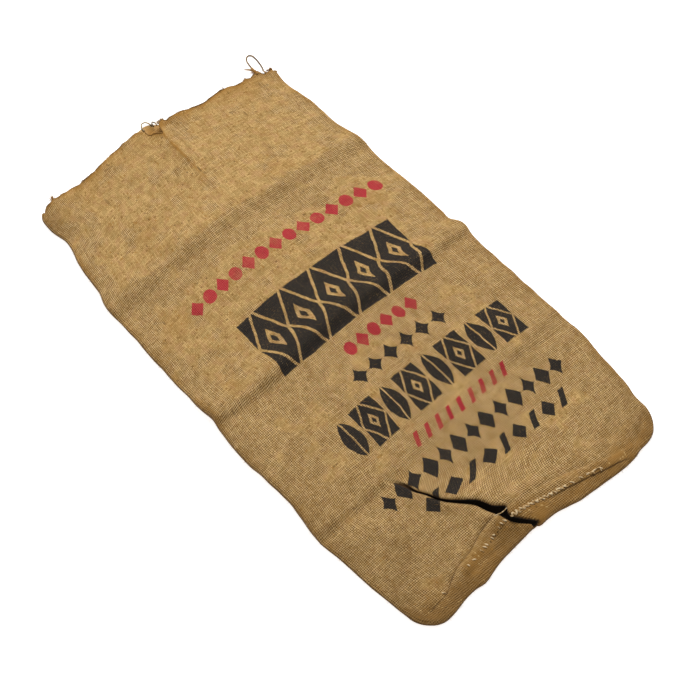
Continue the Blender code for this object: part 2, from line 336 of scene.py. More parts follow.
print(len(WAVES), "slack waves and", len(WRINKLES), "wrinkles")


# %% [markdown]
# ## Smooth curves from short tables
# A few measured places are enough if a smooth curve runs through them. `Curve` is a Hermite spline: it
# passes each place with the average slope of its neighbours. It takes whole arrays, so that a hundred
# thousand points cost no more than one.

# %% Curve
class Curve:
    """A smooth curve through a table's rows: a Hermite spline with averaged slopes."""

    def __init__(self, places, values):
        self.places = np.asarray(places, float)
        self.values = np.asarray(values, float)
        self.slopes = np.gradient(self.values, self.places)

    def __call__(self, where):
        where = np.clip(where, self.places[0], self.places[-1])
        i = np.clip(np.searchsorted(self.places, where, side="right") - 1, 0, len(self.places) - 2)
        step = self.places[i + 1] - self.places[i]
        t = (where - self.places[i]) / step
        return (
            (2 * t**3 - 3 * t**2 + 1) * self.values[i]
            + (t**3 - 2 * t**2 + t) * step * self.slopes[i]
            + (3 * t**2 - 2 * t**3) * self.values[i + 1]
            + (t**3 - t**2) * step * self.slopes[i + 1]
        )


def curve_of(table, key, name):
    """The curve of one named column of a table over another."""
    rows = sorted(table, key=lambda row: getattr(row, key))
    return Curve([getattr(row, key) for row in rows], [getattr(row, name) for row in rows])


SIDE_X = {side: curve_of(SIDES, "y", side) for side in ("left", "right")}
BOTTOM_Y = curve_of(ENDS, "x", "bottom")
FRONT_MOUTH_Y = curve_of(ENDS, "x", "front_mouth")
BACK_MOUTH_Y = curve_of(ENDS, "x", "back_mouth")
CREST_Y = [Curve(CREST_X, row.crest) for row in CREASES]
CREST_Z = [Curve(CREST_X, row.height) for row in CREASES]
RIDGE_X = curve_of(RIDGE, "y", "x")
RIDGE_Z = curve_of(RIDGE, "y", "height")
NOTCH_DEPTH = curve_of(NOTCH, "x", "depth")
END_Y = {"bottom": BOTTOM_Y, "mouth": FRONT_MOUTH_Y}
RADIUS = {(row.side, row.end): row.radius for row in CORNERS}
print(f"the mouth's middle lies at y = {FRONT_MOUTH_Y(0):.0f} mm")


# %% [markdown]
# ## Helpers for soft shapes
# `bell` is a round hump, `eased` a soft step, and `Ripple` is seeded noise: random heights on a lattice,
# joined smoothly. A fixed seed gives the same cloth each time the script runs.

# %% Bell, step and ripple
LATTICE = 64  # rows and columns of heights before they repeat


def bell(distance, reach):
    """1 at no distance, falling softly to 0 at about twice the reach."""
    return np.exp(-((distance / reach) ** 2))


def eased(low, high, value):
    """0 below low, 1 above high and a soft step between them."""
    t = np.clip((value - low) / (high - low), 0.0, 1.0)
    return t * t * (3 - 2 * t)


class Ripple:
    """Soft noise on the plan, from -1 to 1: random heights on a turned square lattice, joined smoothly."""

    def __init__(self, seed, cell, turn):
        self.heights = np.random.default_rng(seed).uniform(-1, 1, (LATTICE, LATTICE))
        self.along = math.cos(turn) / cell
        self.aside = math.sin(turn) / cell

    def __call__(self, x, y):
        i, j = x * self.along - y * self.aside, x * self.aside + y * self.along
        column, row = np.floor(i).astype(int), np.floor(j).astype(int)
        s, t = eased(0, 1, i - column), eased(0, 1, j - row)
        near = self.corner(column, row) * (1 - s) + self.corner(column + 1, row) * s
        far = self.corner(column, row + 1) * (1 - s) + self.corner(column + 1, row + 1) * s
        return near * (1 - t) + far * t

    def corner(self, column, row):
        return self.heights[column % LATTICE, row % LATTICE]


class Pucker(NamedTuple):
    """One size of the small unevenness that no flat cloth is without."""

    ripple: Ripple
    height: float


PUCKERS = (
    Pucker(Ripple(seed=11, cell=74, turn=0.4), 1.5),
    Pucker(Ripple(seed=12, cell=37, turn=1.3), 1.05),
    Pucker(Ripple(seed=13, cell=19, turn=2.1), 0.65),
    Pucker(Ripple(seed=14, cell=11, turn=0.9), 0.26),
)
RUCKS = Pucker(Ripple(seed=15, cell=17, turn=0.3), 1.7)  # where the sewn band has gathered on its twine
RUCKS_UP, RUCKS_REACH = 22, 20  # their middle line above the bottom fold, and how far they reach from it
print("ripples at the middle:", [round(float(row.ripple(0.0, 0.0)), 2) for row in PUCKERS])


# %% [markdown]
# ## The cloth's own grain
# Real cloth never lies quite square: the crossways yarns of this sack climb towards the right at the bottom
# and bow at the mouth. So the weave and the print don't follow X and Y but the cloth's own yarns, and the
# table says where the lowest and the highest of them run.

# %% Grain
class Grain(NamedTuple):
    """Where the crossways yarns of the cloth's two ends lie, at one place across the sack."""

    x: float
    bottom: float
    mouth: float


GRAIN = (
    Grain(-290, -507, 452),
    Grain(-230, -505, 476),
    Grain(0, -496, 519),
    Grain(230, -486, 486),
    Grain(290, -482, 466),
)
GRAIN_BOTTOM, GRAIN_MOUTH = (curve_of(GRAIN, "x", name) for name in ("bottom", "mouth"))


def grain_share(x, y):
    """How far along the cloth's own yarns a place lies, from 0 at its bottom end to 1 at its mouth end."""
    return (y - GRAIN_BOTTOM(x)) / (GRAIN_MOUTH(x) - GRAIN_BOTTOM(x))


print(f"the sack's middle is at {grain_share(0.0, 0.0):.2f} of the yarns' way to the mouth")


# %% [markdown]
# ## The sack seen from above
# The front layer is a sheet spanned between its four edges. That is a Coons patch: blend left to right,
# add bottom to mouth, and take away the corners, which were counted twice. Its edges wander a little, as
# a soft fold and a cut edge do.

# %% Plan of the front layer
SCALLOP = Ripple(seed=21, cell=23, turn=0.0)
SCALLOP_DEPTH = 1.1  # how far the side folds wander
RAGGED = Ripple(seed=22, cell=9, turn=0.0)
RAGGED_DEPTH, RAGGED_REACH = 1.3, 9.0  # how far the cut mouth edge wanders, and how deep into the cloth


def corner_inset(along, radius):
    """How far a rounded corner draws an edge in, at this distance from the side that it meets."""
    reach = np.clip(radius - along, 0.0, radius)
    return radius - np.sqrt(radius**2 - reach**2)


def side_point(side, v):
    """A point of the front layer's left or right edge, from the bottom corner to the mouth corner."""
    outwards = -1 if side == "left" else 1
    low = BOTTOM_Y(outwards * WIDTH / 2) + FOLD_BULGE / MM
    high = FRONT_MOUTH_Y(outwards * WIDTH / 2)
    bottom, mouth = RADIUS[side, "bottom"], RADIUS[side, "mouth"]
    start, stop = low + HALF_ARC * bottom, high - HALF_ARC * mouth
    y = start + (stop - start) * v
    inset = corner_inset(y - low, bottom) + corner_inset(high - y, mouth)
    inset = inset + FOLD_BULGE / MM + SCALLOP_DEPTH * SCALLOP(y, outwards * WIDTH)
    return np.array((SIDE_X[side](y) - outwards * inset, y))


CORNER_POINT = {
    (side, end): side_point(side, np.array(v))
    for side in ("left", "right")
    for end, v in (("bottom", 0.0), ("mouth", 1.0))
}


def end_point(end, u):
    """A point of the front layer's bottom or mouth edge, from left to right."""
    start, stop = CORNER_POINT["left", end][0], CORNER_POINT["right", end][0]
    x = start + (stop - start) * u
    left, right = RADIUS["left", end], RADIUS["right", end]
    inset = corner_inset(x - start + HALF_ARC * left, left) + corner_inset(stop - x + HALF_ARC * right, right)
    y = END_Y[end](x)
    return np.array((x, y + FOLD_BULGE / MM + inset if end == "bottom" else y - inset))


def plan(u, v):
    """Where a place of the front layer lies, as x and y: a sheet spanned between its four edges."""
    spanned = (1 - u) * side_point("left", v) + u * side_point("right", v)
    spanned = spanned + (1 - v) * end_point("bottom", u) + v * end_point("mouth", u)
    for (side, end), corner in CORNER_POINT.items():
        share = (u if side == "right" else 1 - u) * (v if end == "mouth" else 1 - v)
        spanned = spanned - np.multiply.outer(corner, share)
    return spanned


def notch(x):
    """How far the front layer's mouth edge dips where the middle ridge meets it."""
    return np.maximum(0.0, NOTCH_DEPTH(x))


def ragged_mouth(x):
    """How far the cut edge of the mouth wanders out at a place across the sack."""
    return RAGGED_DEPTH * RAGGED(x, np.zeros_like(x))


print("the sheet's middle lies at", plan(np.array(0.5), np.array(0.5)).round(1))


# %% [markdown]
# ## The pleat
# Near the bottom a flap of cloth laps over itself along a slanting line. Seen end on, the sheet dips into a
# groove, runs back under the flap and turns over its lip: an S. `FOLD` draws that S once, as how far each
# place of the sheet shifts and rises. `PLEAT` says how large and how strong the S is along the line, and
# `LIP` lets the flap's edge wander, because a real one is never straight.

# %% Shape of the fold
class Fold(NamedTuple):
    """One place of the S: where it was on the flat sheet, its shift and rise, and its share of the lip."""

    at: float
    shift: float
    rise: float
    lip: float


FOLD = (
    Fold(-45, 0, 0, 0),
    Fold(-22, 0, 2.5, 0),
    Fold(-12, 0.5, 4.5, 0),
    Fold(-6, 0, 2.5, 0),
    Fold(-1, -3, -4, 0),
    Fold(5, -5, -6.5, 0.1),
    Fold(11, -7, -3.5, 0.6),
    Fold(17, -13, 2, 1),
    Fold(23, -22, 7.5, 1),
    Fold(28, -26, 11, 1),
    Fold(36, -26, 12, 1),
    Fold(50, -22, 8, 0.8),
    Fold(75, -14, 2.5, 0.5),
    Fold(110, -6, 0.5, 0.2),
    Fold(160, 0, 0, 0),
)
FOLD_SHIFT, FOLD_RISE, FOLD_LIP = (curve_of(FOLD, "at", name) for name in ("shift", "rise", "lip"))
print("the fold is drawn", max(row.rise for row in FOLD) - min(row.rise for row in FOLD), "mm high")


# %% Pleat
class Pleat(NamedTuple):
    """One place along the pleat: where its groove runs, the size of the S, and how much of it is there."""

    y: float
    x: float
    size: float
    strength: float


PLEAT = (
    Pleat(-290, -146, 0.34, 0),
    Pleat(-323, -125, 0.36, 0.55),
    Pleat(-340, -119, 0.42, 0.8),
    Pleat(-352, -110.5, 0.48, 0.9),
    Pleat(-382, -92.5, 0.68, 1.0),
    Pleat(-397, -78, 0.82, 1.0),
    Pleat(-413, -62.5, 0.94, 1.0),
    Pleat(-437, -52, 1.06, 1.0),
    Pleat(-449, -46, 1.06, 1.0),
    Pleat(-461, -44, 0.92, 1.0),
    Pleat(-481, -33, 0.78, 0.95),
    Pleat(-496, -20, 0.60, 0.9),
    Pleat(-512, -10, 0.5, 0.75),
)
ACROSS_PLEAT = 0.755  # how much of a step along x goes across the slanting line


class Lip(NamedTuple):
    """How far the flap's lip is drawn back from the groove."""

    y: float
    back: float


LIP = (
    Lip(-512, 1),
    Lip(-497, 2.5),
    Lip(-488, 2),
    Lip(-475, 0),
    Lip(-463, -1),
    Lip(-449, 6),
    Lip(-437, 2),
    Lip(-409, 0.5),
    Lip(-385, -0.5),
    Lip(-352, -1.5),
    Lip(-320, -1),
)
LIP_BACK = curve_of(LIP, "y", "back")
PLEAT_X, PLEAT_SIZE, PLEAT_STRENGTH = (curve_of(PLEAT, "y", name) for name in ("x", "size", "strength"))
PLEAT_WIDEST_Y = -440.0


def across_pleat(x, y):
    """How far a place lies beside the groove, in the units of the drawn S."""
    return (x - PLEAT_X(y)) * ACROSS_PLEAT / PLEAT_SIZE(y)


def pleat(x, y):
    """How far the cloth at a place shifts along x and how far it rises."""
    size, strength = PLEAT_SIZE(y), PLEAT_STRENGTH(y)
    at = across_pleat(x, y)
    lip = LIP_BACK(y) * FOLD_LIP(at)
    shift = strength * (size * FOLD_SHIFT(at) + lip) / ACROSS_PLEAT
    return shift, strength * size * FOLD_RISE(at)


beside_groove = PLEAT_X(PLEAT_WIDEST_Y) + np.arange(0.0, 100.0)
widest_shift = pleat(beside_groove, np.full_like(beside_groove, PLEAT_WIDEST_Y))[0].min()
print(f"the cloth shifts by up to {-widest_shift:.0f} mm in the pleat")


# %% [markdown]
# ## The bottom seam
# The bag is closed by twine sewn through both layers near the bottom. That sewn band has rolled up on to
# the front. Above it the cloth tucks in along a thin line, and to the right its lower lip drops off sharply.

# %% Sewn line
class Seam(NamedTuple):
    """A place on the sewn line, and how far the cloth drops just below it."""

    x: float
    y: float
    step: float


SEAM = (
    Seam(-235, -499, 0.0),
    Seam(-210, -491, 0.3),
    Seam(-185, -486, 0.4),
    Seam(-145, -481, 0.5),
    Seam(-115, -478, 0.6),
    Seam(-85, -471, 0.7),
    Seam(-55, -464, 0.6),
    Seam(-10, -467.5, 0.8),
    Seam(18, -471, 1.0),
    Seam(44, -477, 1.4),
    Seam(64, -481, 1.8),
    Seam(98, -489, 2.4),
    Seam(112, -493, 2.4),
    Seam(145, -501, 1.6),
    Seam(165, -506, 0.6),
)
SEAM_Y, SEAM_STEP = (curve_of(SEAM, "x", name) for name in ("y", "step"))
STITCH_PITCH = 6.2
print(f"the sewn line is {SEAM[-1].x - SEAM[0].x:g} mm long")


# %% Tuck and band
class Tuck(NamedTuple):
    """A place on the thin line above the sewn band, and how deep the cloth tucks in there."""

    x: float
    y: float
    depth: float


TUCK = (
    Tuck(-252, -502, 0.4),
    Tuck(-219, -495, 1.2),
    Tuck(-194, -492, 1.5),
    Tuck(-174, -480, 1.8),
    Tuck(-154, -471, 2.2),
    Tuck(-124, -465, 2.2),
    Tuck(-94, -453.5, 2.0),
    Tuck(-64, -448, 1.2),
    Tuck(-10, -451, 0.2),
    Tuck(37, -456, 0.5),
    Tuck(66, -461, 0.9),
    Tuck(90, -468, 1.4),
    Tuck(127, -481, 1.2),
    Tuck(160, -491, 0.8),
    Tuck(200, -498, 0.3),
)
TUCK_Y, TUCK_DEPTH = (curve_of(TUCK, "x", name) for name in ("y", "depth"))
TUCK_REACH = 3.2
SEWN_FROM, SEWN_TO = (-260, -230), (175, 205)  # the band begins over the first stretch, ends over the other
BAND_RISE = 2.4  # how far it stands up
BAND_TOP = (-2, 9)  # below the tuck, the stretch where it rises
BAND_FOOT, BAND_SINKS = (8, 34), 0.6  # below the stitches, the stretch where it sinks, and by what share
STEP_EDGE = (2.5, 5.5)  # below the stitches, the stretch where its lower lip drops off


def sewn_here(x):
    """1 along the sewn band and 0 past its ends."""
    return eased(*SEWN_FROM, x) * (1 - eased(*SEWN_TO, x))


def band_height(x, y):
    """The sewn band: a rise below the tuck line, the tuck itself and the step below the stitches."""
    below_tuck, below_seam = TUCK_Y(x) - y, SEAM_Y(x) - y
    band = BAND_RISE * eased(*BAND_TOP, below_tuck) * (1 - BAND_SINKS * eased(*BAND_FOOT, below_seam))
    step = SEAM_STEP(x) * eased(*STEP_EDGE, below_seam)
    tuck = TUCK_DEPTH(x) * bell(below_tuck, TUCK_REACH)
    return sewn_here(x) * (band - step - tuck)


print(f"the deepest tuck is {max(row.depth for row in TUCK)} mm")


# %% [markdown]
# ## How high the front layer lies
# All the parts of the relief are added up: creases, the middle ridge, the sewn band, wrinkles, slack waves,
# puckers and rucks. `settle` then moves a place of the flat plan to where the cloth lies, pleat included, so
# stitches and fibres can be put on the cloth with the same call.

# %% Relief
def crease_height(x, y):
    """The cross creases: each falls steeply towards the bottom of the sack and is lower at the sides."""
    height = 0.0
    for crease, crest_y, crest_z in zip(CREASES, CREST_Y, CREST_Z):
        above = y - crest_y(x)
        steep = 1 - eased(crease.shoulder, crease.fall, -above)
        height = height + crest_z(x) * np.where(above > 0, bell(above, crease.slope), steep)
    return height


def ridge_height(x, y):
    """The middle ridge: a sharp crest on a soft swell."""
    aside = np.abs(x - RIDGE_X(y))
    shape = RIDGE_SHARP * np.exp(-aside / RIDGE_CREST) + (1 - RIDGE_SHARP) * bell(aside, RIDGE_SWELL)
    return np.maximum(0.0, RIDGE_Z(y)) * shape


def off_segment(x, y, row):
    """How far places lie from a table row's straight run."""
    run_x, run_y = row.to_x - row.x, row.to_y - row.y
    t = np.clip(((x - row.x) * run_x + (y - row.y) * run_y) / (run_x**2 + run_y**2), 0.0, 1.0)
    return np.hypot(x - row.x - t * run_x, y - row.y - t * run_y)


def small_relief(x, y):
    """Wrinkles, slack waves, puckers and the rucks of the sewn band."""
    wrinkled = sum(row.height * bell(off_segment(x, y, row), row.reach) for row in WRINKLES)
    turns = [(wave.across * x + wave.along * y) * MM + wave.phase for wave in WAVES]
    slack = sum(wave.height * np.sin(2 * math.pi * turn) for wave, turn in zip(WAVES, turns))
    puckered = sum(row.height * row.ripple(x, y) for row in PUCKERS)
    rucked = RUCKS.height * RUCKS.ripple(x, y) * bell(y - BOTTOM_Y(x) - RUCKS_UP, RUCKS_REACH)
    return wrinkled + slack + puckered + rucked


def settle(x, y):
    """The middle of the front layer's cloth, in metres, for places of the flat plan in millimetres."""
    shift, rise = pleat(x, y)
    relief = crease_height(x, y) + ridge_height(x, y) + band_height(x, y) + small_relief(x, y) + rise
    return np.array(((x + shift) * MM, y * MM, np.maximum(FRONT_Z + relief * MM, LOWEST_FRONT)))


def outwards_at(x, y):
    """The direction that points out of the front layer at a place of the flat plan."""
    across = settle(x + 1.0, y) - settle(x - 1.0, y)
    along = settle(x, y + 1.0) - settle(x, y - 1.0)
    return Vector(np.cross(across, along)).normalized()


print("the middle of the front layer lies at", settle(np.array(0.0), np.array(0.0)).round(4))


# %% [markdown]
# ## The loose yarn at the mouth
# One yarn stands out in a loop from the corner of the mouth. It is a free cord, so its route is given point
# by point, and a smooth curve runs through it. A Blender curve with a bevel makes the yarn.

# %% Yarn route
YARN_RADIUS = 1.45 * MM
YARN_GAP = 0.8 * MM  # from the cloth's cut edge to the middle line of the yarn's end
YARN_STEPS = 46
YARN_OUT_X = 231.5  # where along the mouth the yarn comes out


class YarnPoint(NamedTuple):
    """A place on the yarn's middle line."""

    x: float
    y: float
    z: float


YARN_LOOP = (
    YarnPoint(232.6, 495, 6.4),
    YarnPoint(234.2, 507, 2.8),
    YarnPoint(236.2, 520, 1.7),
    YarnPoint(238.8, 530, 1.7),
    YarnPoint(243.2, 536.4, 1.7),
    YarnPoint(249.4, 538, 1.7),
    YarnPoint(253.4, 534, 1.7),
    YarnPoint(254.4, 525, 1.7),
    YarnPoint(252.8, 511, 1.8),
    YarnPoint(249.6, 498, 3.2),
    YarnPoint(246.2, 491, 6.4),
    YarnPoint(243.2, 485.4, 9.2),
)


def mouth_edge(x):
    """The front layer's mouth edge at this place across, in metres, beside the notch."""
    here = np.array(float(x))
    return settle(here, FRONT_MOUTH_Y(here) + ragged_mouth(here))


def yarn_end(x):
    """Where the yarn leaves the front layer's mouth edge, in millimetres."""
    edge = mouth_edge(x) / MM
    return YarnPoint(edge[0], edge[1] + YARN_GAP / MM, edge[2])


def smooth_route(places, steps):
    """A smooth line of evenly spaced steps through places given in millimetres."""
    points = np.array(places) * MM
    travelled = np.concatenate(([0.0], np.cumsum(np.linalg.norm(np.diff(points, axis=0), axis=1))))
    axes = [Curve(travelled, points[:, axis]) for axis in range(3)]
    return np.array([curve(np.linspace(0.0, travelled[-1], steps)) for curve in axes]).T


yarn_line = smooth_route([yarn_end(YARN_OUT_X), *YARN_LOOP], YARN_STEPS)


# %% [markdown]
# ## Shader maths as plain sums
# A material is a net of small nodes. Wrapping a socket in a class that knows `+`, `-`, `*` and a few more
# lets the net be written as ordinary sums: each operation quietly adds one Math node.

# %% Flow
class Flow:
    """A number on its way through a material. Arithmetic on it adds Math nodes."""

    def __init__(self, paint, socket):
        self.paint = paint
        self.socket = socket

    def __add__(self, other):
        return self.paint.math("ADD", self, other)

    def __radd__(self, other):
        return self.paint.math("ADD", other, self)

    def __sub__(self, other):
        return self.paint.math("SUBTRACT", self, other)

    def __rsub__(self, other):
        return self.paint.math("SUBTRACT", other, self)

    def __mul__(self, other):
        return self.paint.math("MULTIPLY", self, other)

    def __rmul__(self, other):
        return self.paint.math("MULTIPLY", other, self)

    def __truediv__(self, other):
        return self.paint.math("DIVIDE", self, other)

    def __rtruediv__(self, other):
        return self.paint.math("DIVIDE", other, self)

    def __pow__(self, other):
        return self.paint.math("POWER", self, other)

    def __mod__(self, other):
        return self.paint.math("FLOORED_MODULO", self, other)

    def __abs__(self):
        return self.paint.math("ABSOLUTE", self)

    def __gt__(self, other):
        return self.paint.math("GREATER_THAN", self, other)


print("sums on sockets become Math nodes")


# %% [markdown]
# ## A material in short calls
# `node` is the one way to add any other node: it takes the node's type, its settings, and values or links
# for its sockets. The rest of the class names what a painter of cloth asks for again and again: a soft
# step, a blend, a mixture of colours, noise, and a window that opens between two places.

# %% Paint
JUTE_SHINE = 0.12


class Paint:
    """A material whose nodes are laid by short calls."""

    def __init__(self, name, roughness):
        self.material = bpy.data.materials.new(name)
        self.material.use_nodes = True
        self.tree = self.material.node_tree
        self.shader = self.tree.nodes["Principled BSDF"]
        self.shader.inputs["Roughness"].default_value = roughness

    def node(self, kind, settings=None, inputs=None, output=0):
        """Adds a node, sets it, fills its sockets with values or links, and returns one of its outputs."""
        node = self.tree.nodes.new(kind)
        for name, value in (settings or {}).items():
            setattr(node, name, value)
        for key, value in (inputs or {}).items():
            self.feed(node.inputs[key], value)
        return Flow(self, node.outputs[output])

    def feed(self, socket, value):
        if isinstance(value, Flow):
            self.tree.links.new(value.socket, socket)
        else:
            socket.default_value = value

    def math(self, operation, *values):
        return self.node("ShaderNodeMath", {"operation": operation}, dict(enumerate(values)))

    def least(self, first, second):
        return self.math("MINIMUM", first, second)

    def most(self, first, second):
        return self.math("MAXIMUM", first, second)

    def floor(self, value):
        return self.math("FLOOR", value)

    def eased(self, low, high, value):
        """0 below low, 1 above high and a soft step between them."""
        inputs = {"Value": value, "From Min": low, "From Max": high}
        return self.node("ShaderNodeMapRange", {"interpolation_type": "SMOOTHSTEP"}, inputs)

    def blend(self, first, second, factor):
        """A number that goes from the first to the second."""
        return first + (second - first) * factor

    def mix(self, factor, first, second):
        """A colour that goes from the first to the second."""
        return self.node("ShaderNodeMix", {"data_type": "RGBA"}, {0: factor, 6: first, 7: second}, 2)

    def attribute(self, name, output="Fac"):
        return self.node("ShaderNodeAttribute", {"attribute_name": name}, output=output)

    def apart(self, vector):
        """The three numbers of a vector."""
        parts = self.node("ShaderNodeSeparateXYZ", inputs={0: vector}).socket.node
        return [Flow(self, socket) for socket in parts.outputs]

    def together(self, x=0.0, y=0.0, z=0.0):
        return self.node("ShaderNodeCombineXYZ", inputs={0: x, 1: y, 2: z})

    def noise(self, vector, scale, detail=2.0):
        """Soft noise, from about 0.2 to 0.8. It changes `scale` times along one unit of its vector."""
        inputs = {"Vector": vector, "Scale": scale, "Detail": detail}
        return self.node("ShaderNodeTexNoise", inputs=inputs)

    def near(self, full, gone, value):
        """1 while a number is closer to 0 than `full`, and 0 once it is farther off than `gone`."""
        return 1.0 - self.eased(full, gone, abs(value))

    def between(self, begins, ends, value):
        """1 between two places. Each is a pair, because the window opens and closes softly."""
        return self.eased(*begins, value) * (1.0 - self.eased(*ends, value))

    def finish(self, colour, height, distance, strength):
        """Feeds the surface its colour and its fine relief, and returns the material."""
        relief = {"Height": height, "Distance": distance, "Strength": strength}
        self.feed(self.shader.inputs["Base Color"], colour)
        self.feed(self.shader.inputs["Normal"], self.node("ShaderNodeBump", inputs=relief))
        self.shader.inputs["Specular IOR Level"].default_value = JUTE_SHINE
        return self.material


print("jute's shine is set to", JUTE_SHINE)


# %% [markdown]
# ## Hessian, thread by thread
# Hessian is a plain weave: each yarn goes over one crossing yarn and under the next. The material follows the
# cloth's own flat coordinates, kept as an attribute, so that the weave runs with every fold. At each place it
# works out how high the lengthways and the crossways yarn lie and takes the upper one. Each yarn gets its own
# tone, which drifts along it, and the gaps between yarns are painted dark, as shade.

# %% Weave
PITCH = 3.15 * MM
YARN_DRIFT = 42.0  # how often a yarn's tone and thickness change, per metre
SQUEEZE = 0.731  # sets neighbouring yarns apart in the noise
HALF_WIDTH, THINNER = 0.60, 0.21  # of a yarn, as a share of the pitch, and how much less in open cloth
UNEVENNESS = 0.55  # how much its width varies with its tone
CRIMP = 0.5  # how far it rises over a crossing yarn and dips under the next


class Yarns(NamedTuple):
    """What the material knows about the woven surface at a place."""

    height: Flow
    crossways: Flow  # 1 where the upper yarn runs across the sack
    tone: Flow
    number: Flow  # counts the yarns
    run: Flow  # how far along the yarn


def yarn_height(place, number, waving, tone, half_width):
    """How high a yarn stands: a round back that waves over and under the yarns that cross it."""
    half_width = half_width + (tone - 0.5) * UNEVENNESS
    return waving * CRIMP + 1.0 - (abs(place - number - 0.5) / half_width) ** 2.0


def weave(paint, across, along, openness):
    """The woven surface at a place: the lengthways yarn or the crossways one, whichever lies higher."""
    s, t = across / PITCH, along / PITCH
    column, row = paint.floor(s), paint.floor(t)
    odd_column, odd_row = 1.0 - (column % 2.0) * 2.0, 1.0 - (row % 2.0) * 2.0
    over = paint.math("SINE", t * math.pi) * odd_column
    under = paint.math("SINE", s * math.pi) * odd_row * -1.0
    warp_tone = paint.noise(paint.together(column * SQUEEZE, along * YARN_DRIFT), scale=1.0)
    weft_tone = paint.noise(paint.together(across * YARN_DRIFT, row * SQUEEZE, 7.0), scale=1.0)
    half_width = HALF_WIDTH - THINNER * openness
    warp = yarn_height(s, column, over, warp_tone, half_width)
    weft = yarn_height(t, row, under, weft_tone, half_width)
    crossways = weft > warp
    tone = paint.blend(warp_tone, weft_tone, crossways)
    number, run = paint.blend(column, row, crossways), paint.blend(along, across, crossways)
    return Yarns(paint.most(warp, weft), crossways, tone, number, run)


print(f"the yarns lie {PITCH / MM:g} mm apart")


# %% [markdown]
# ## A plain printed pattern
# The sack's front is printed in black and red with rows of simple ornaments: lozenges, discs, stars, leaves,
# frames and slanting strokes. Each row is a table line. The distance to a shape is a short formula, below 0
# inside it, and one formula serves a whole row because the coordinate is folded back at every repeat.

# %% Print rows
class Row(NamedTuple):
    """A row of printed ornaments, in millimetres of flat cloth."""

    ink: str
    y: float  # the row's middle line
    height: float
    start: float  # its left end
    pitch: float
    count: int
    shape: str
    other: str  # the shape of every second ornament


PRINT = (
    Row("red", 157, 32, -180, 31, 14, "lozenge", "disc"),
    Row("black", 16, 132, -138, 68, 5, "frame", "frame"),
    Row("red", -84, 32, -34, 27, 6, "disc", "lozenge"),
    Row("black", -133, 38, -62, 35, 6, "star", "star"),
    Row("black", -209, 80, -156, 48, 8, "leaf", "frame"),
    Row("red", -279, 26, -62, 24, 9, "stroke", "stroke"),
    Row("black", -328, 42, -176, 31, 13, "star", "lozenge"),
    Row("black", -378, 32, -130, 33, 10, "lozenge", "stroke"),
)
print(len(PRINT), "printed rows")


# %% Ornaments
CELL = 2.2  # the width of a repeat in half ornaments, so that neighbours stand a little apart
INK_EDGE = (-0.5, 0.7)  # millimetres past an outline: the ink is full before this stretch and ends over it


def ornament(paint, shape, x, y):
    """How far outside a shape a place is. The shape fills the square from -1 to 1."""
    if shape == "stroke":  # a slanting bar
        return paint.most(abs(x * 1.6 - y * 0.75) - 0.62, abs(y) - 0.9)
    x, y = abs(x), abs(y)
    if shape == "lozenge":
        return x + y - 1.0
    if shape == "frame":  # a small lozenge in a ring, and what the ring leaves of the square's corners
        heart, ring = x + y - 0.17, abs(x + y - 0.69) - 0.29
        corner = paint.most(1.16 - x - y, x - 1.11)
        return paint.least(heart, paint.most(paint.least(ring, corner), y - 0.96))
    if shape == "disc":
        return (x * x + y * y) ** 0.5 - 0.84
    if shape == "star":
        return x**0.72 + y**0.72 - 1.0
    return paint.most(x * 1.2 + y * y - 0.96, 0.07 - x)  # a leaf: a spindle with a bare rib


def row_distance(paint, row, across, along):
    """How far a place is outside the row's nearest ornament, in half ornaments."""
    place = (across - row.start) / row.pitch
    number = paint.most(paint.least(paint.floor(place), row.count - 1.0), 0.0)
    x, y = (place - number - 0.5) * CELL, (along - row.y) / (row.height / 2)
    first = ornament(paint, row.shape, x, y)
    if row.other == row.shape:
        return first
    return paint.blend(first, ornament(paint, row.other, x, y), number % 2.0)


def printed(paint, ink, across, along, ragged):
    """Where one ink lies, from 0 to 1."""
    cover = 0.0
    for row in PRINT:
        if row.ink == ink:
            distance = row_distance(paint, row, across, along) * (row.pitch / CELL) + ragged
            cover = paint.most(cover, 1.0 - paint.eased(*INK_EDGE, distance))
    return cover


print(sum(row.count for row in PRINT), "printed ornaments")


# %% [markdown]
# ## The cloth's colour
# Jute is golden tan, and never even: yarns differ, bark flecks stay in them, and the cloth has yellowed at
# its edges. Its creases, the low left part and some patches are painted darker as shade, along with the dust
# of its sewn band. Tone comes from the yarns first, then from broad drifts of hue, age, dust and painted
# shade, and then from flecks and stains. Every step is one mixture laid over the last, because layers are
# easy to set.

# %% Colours
PALE, TAN, GOLD = (0.66, 0.428, 0.167, 1), (0.43, 0.258, 0.085, 1), (0.37, 0.176, 0.032, 1)
ROSE, OLIVE, DUST_AND_SHADE_TONE = (0.52, 0.285, 0.13, 1), (0.40, 0.28, 0.10, 1), (0.19, 0.108, 0.036, 1)
# Next line: the painted highlight of the yarns' crowns, then the brown of the frayed mouth edge and of the
# painted shade on the folds' sides.
LIT, RIM_FRAY_AND_SHADE = (0.76, 0.52, 0.255, 1), (0.10, 0.048, 0.011, 1)
# Besides the cloth's own dark browns, these paint shade: the first on the yarns' flanks and in a soft
# mottling, the second in the yarns' gaps, the seam and the pleat, the third near black in the pleat.
BROWN, BARK_AND_SHADE, SHADE = (0.21, 0.10, 0.016, 1), (0.058, 0.026, 0.005, 1), (0.010, 0.006, 0.003, 1)
# The crown colours are each ink painted lighter where it sits on a yarn's crown, as a highlight.
BLACK_INK, BLACK_CROWN = (0.009, 0.008, 0.008, 1), (0.024, 0.021, 0.019, 1)
RED_INK, RED_CROWN = (0.28, 0.012, 0.020, 1), (0.52, 0.030, 0.048, 1)
print("bare yarns range from", TAN[:3], "to", PALE[:3])


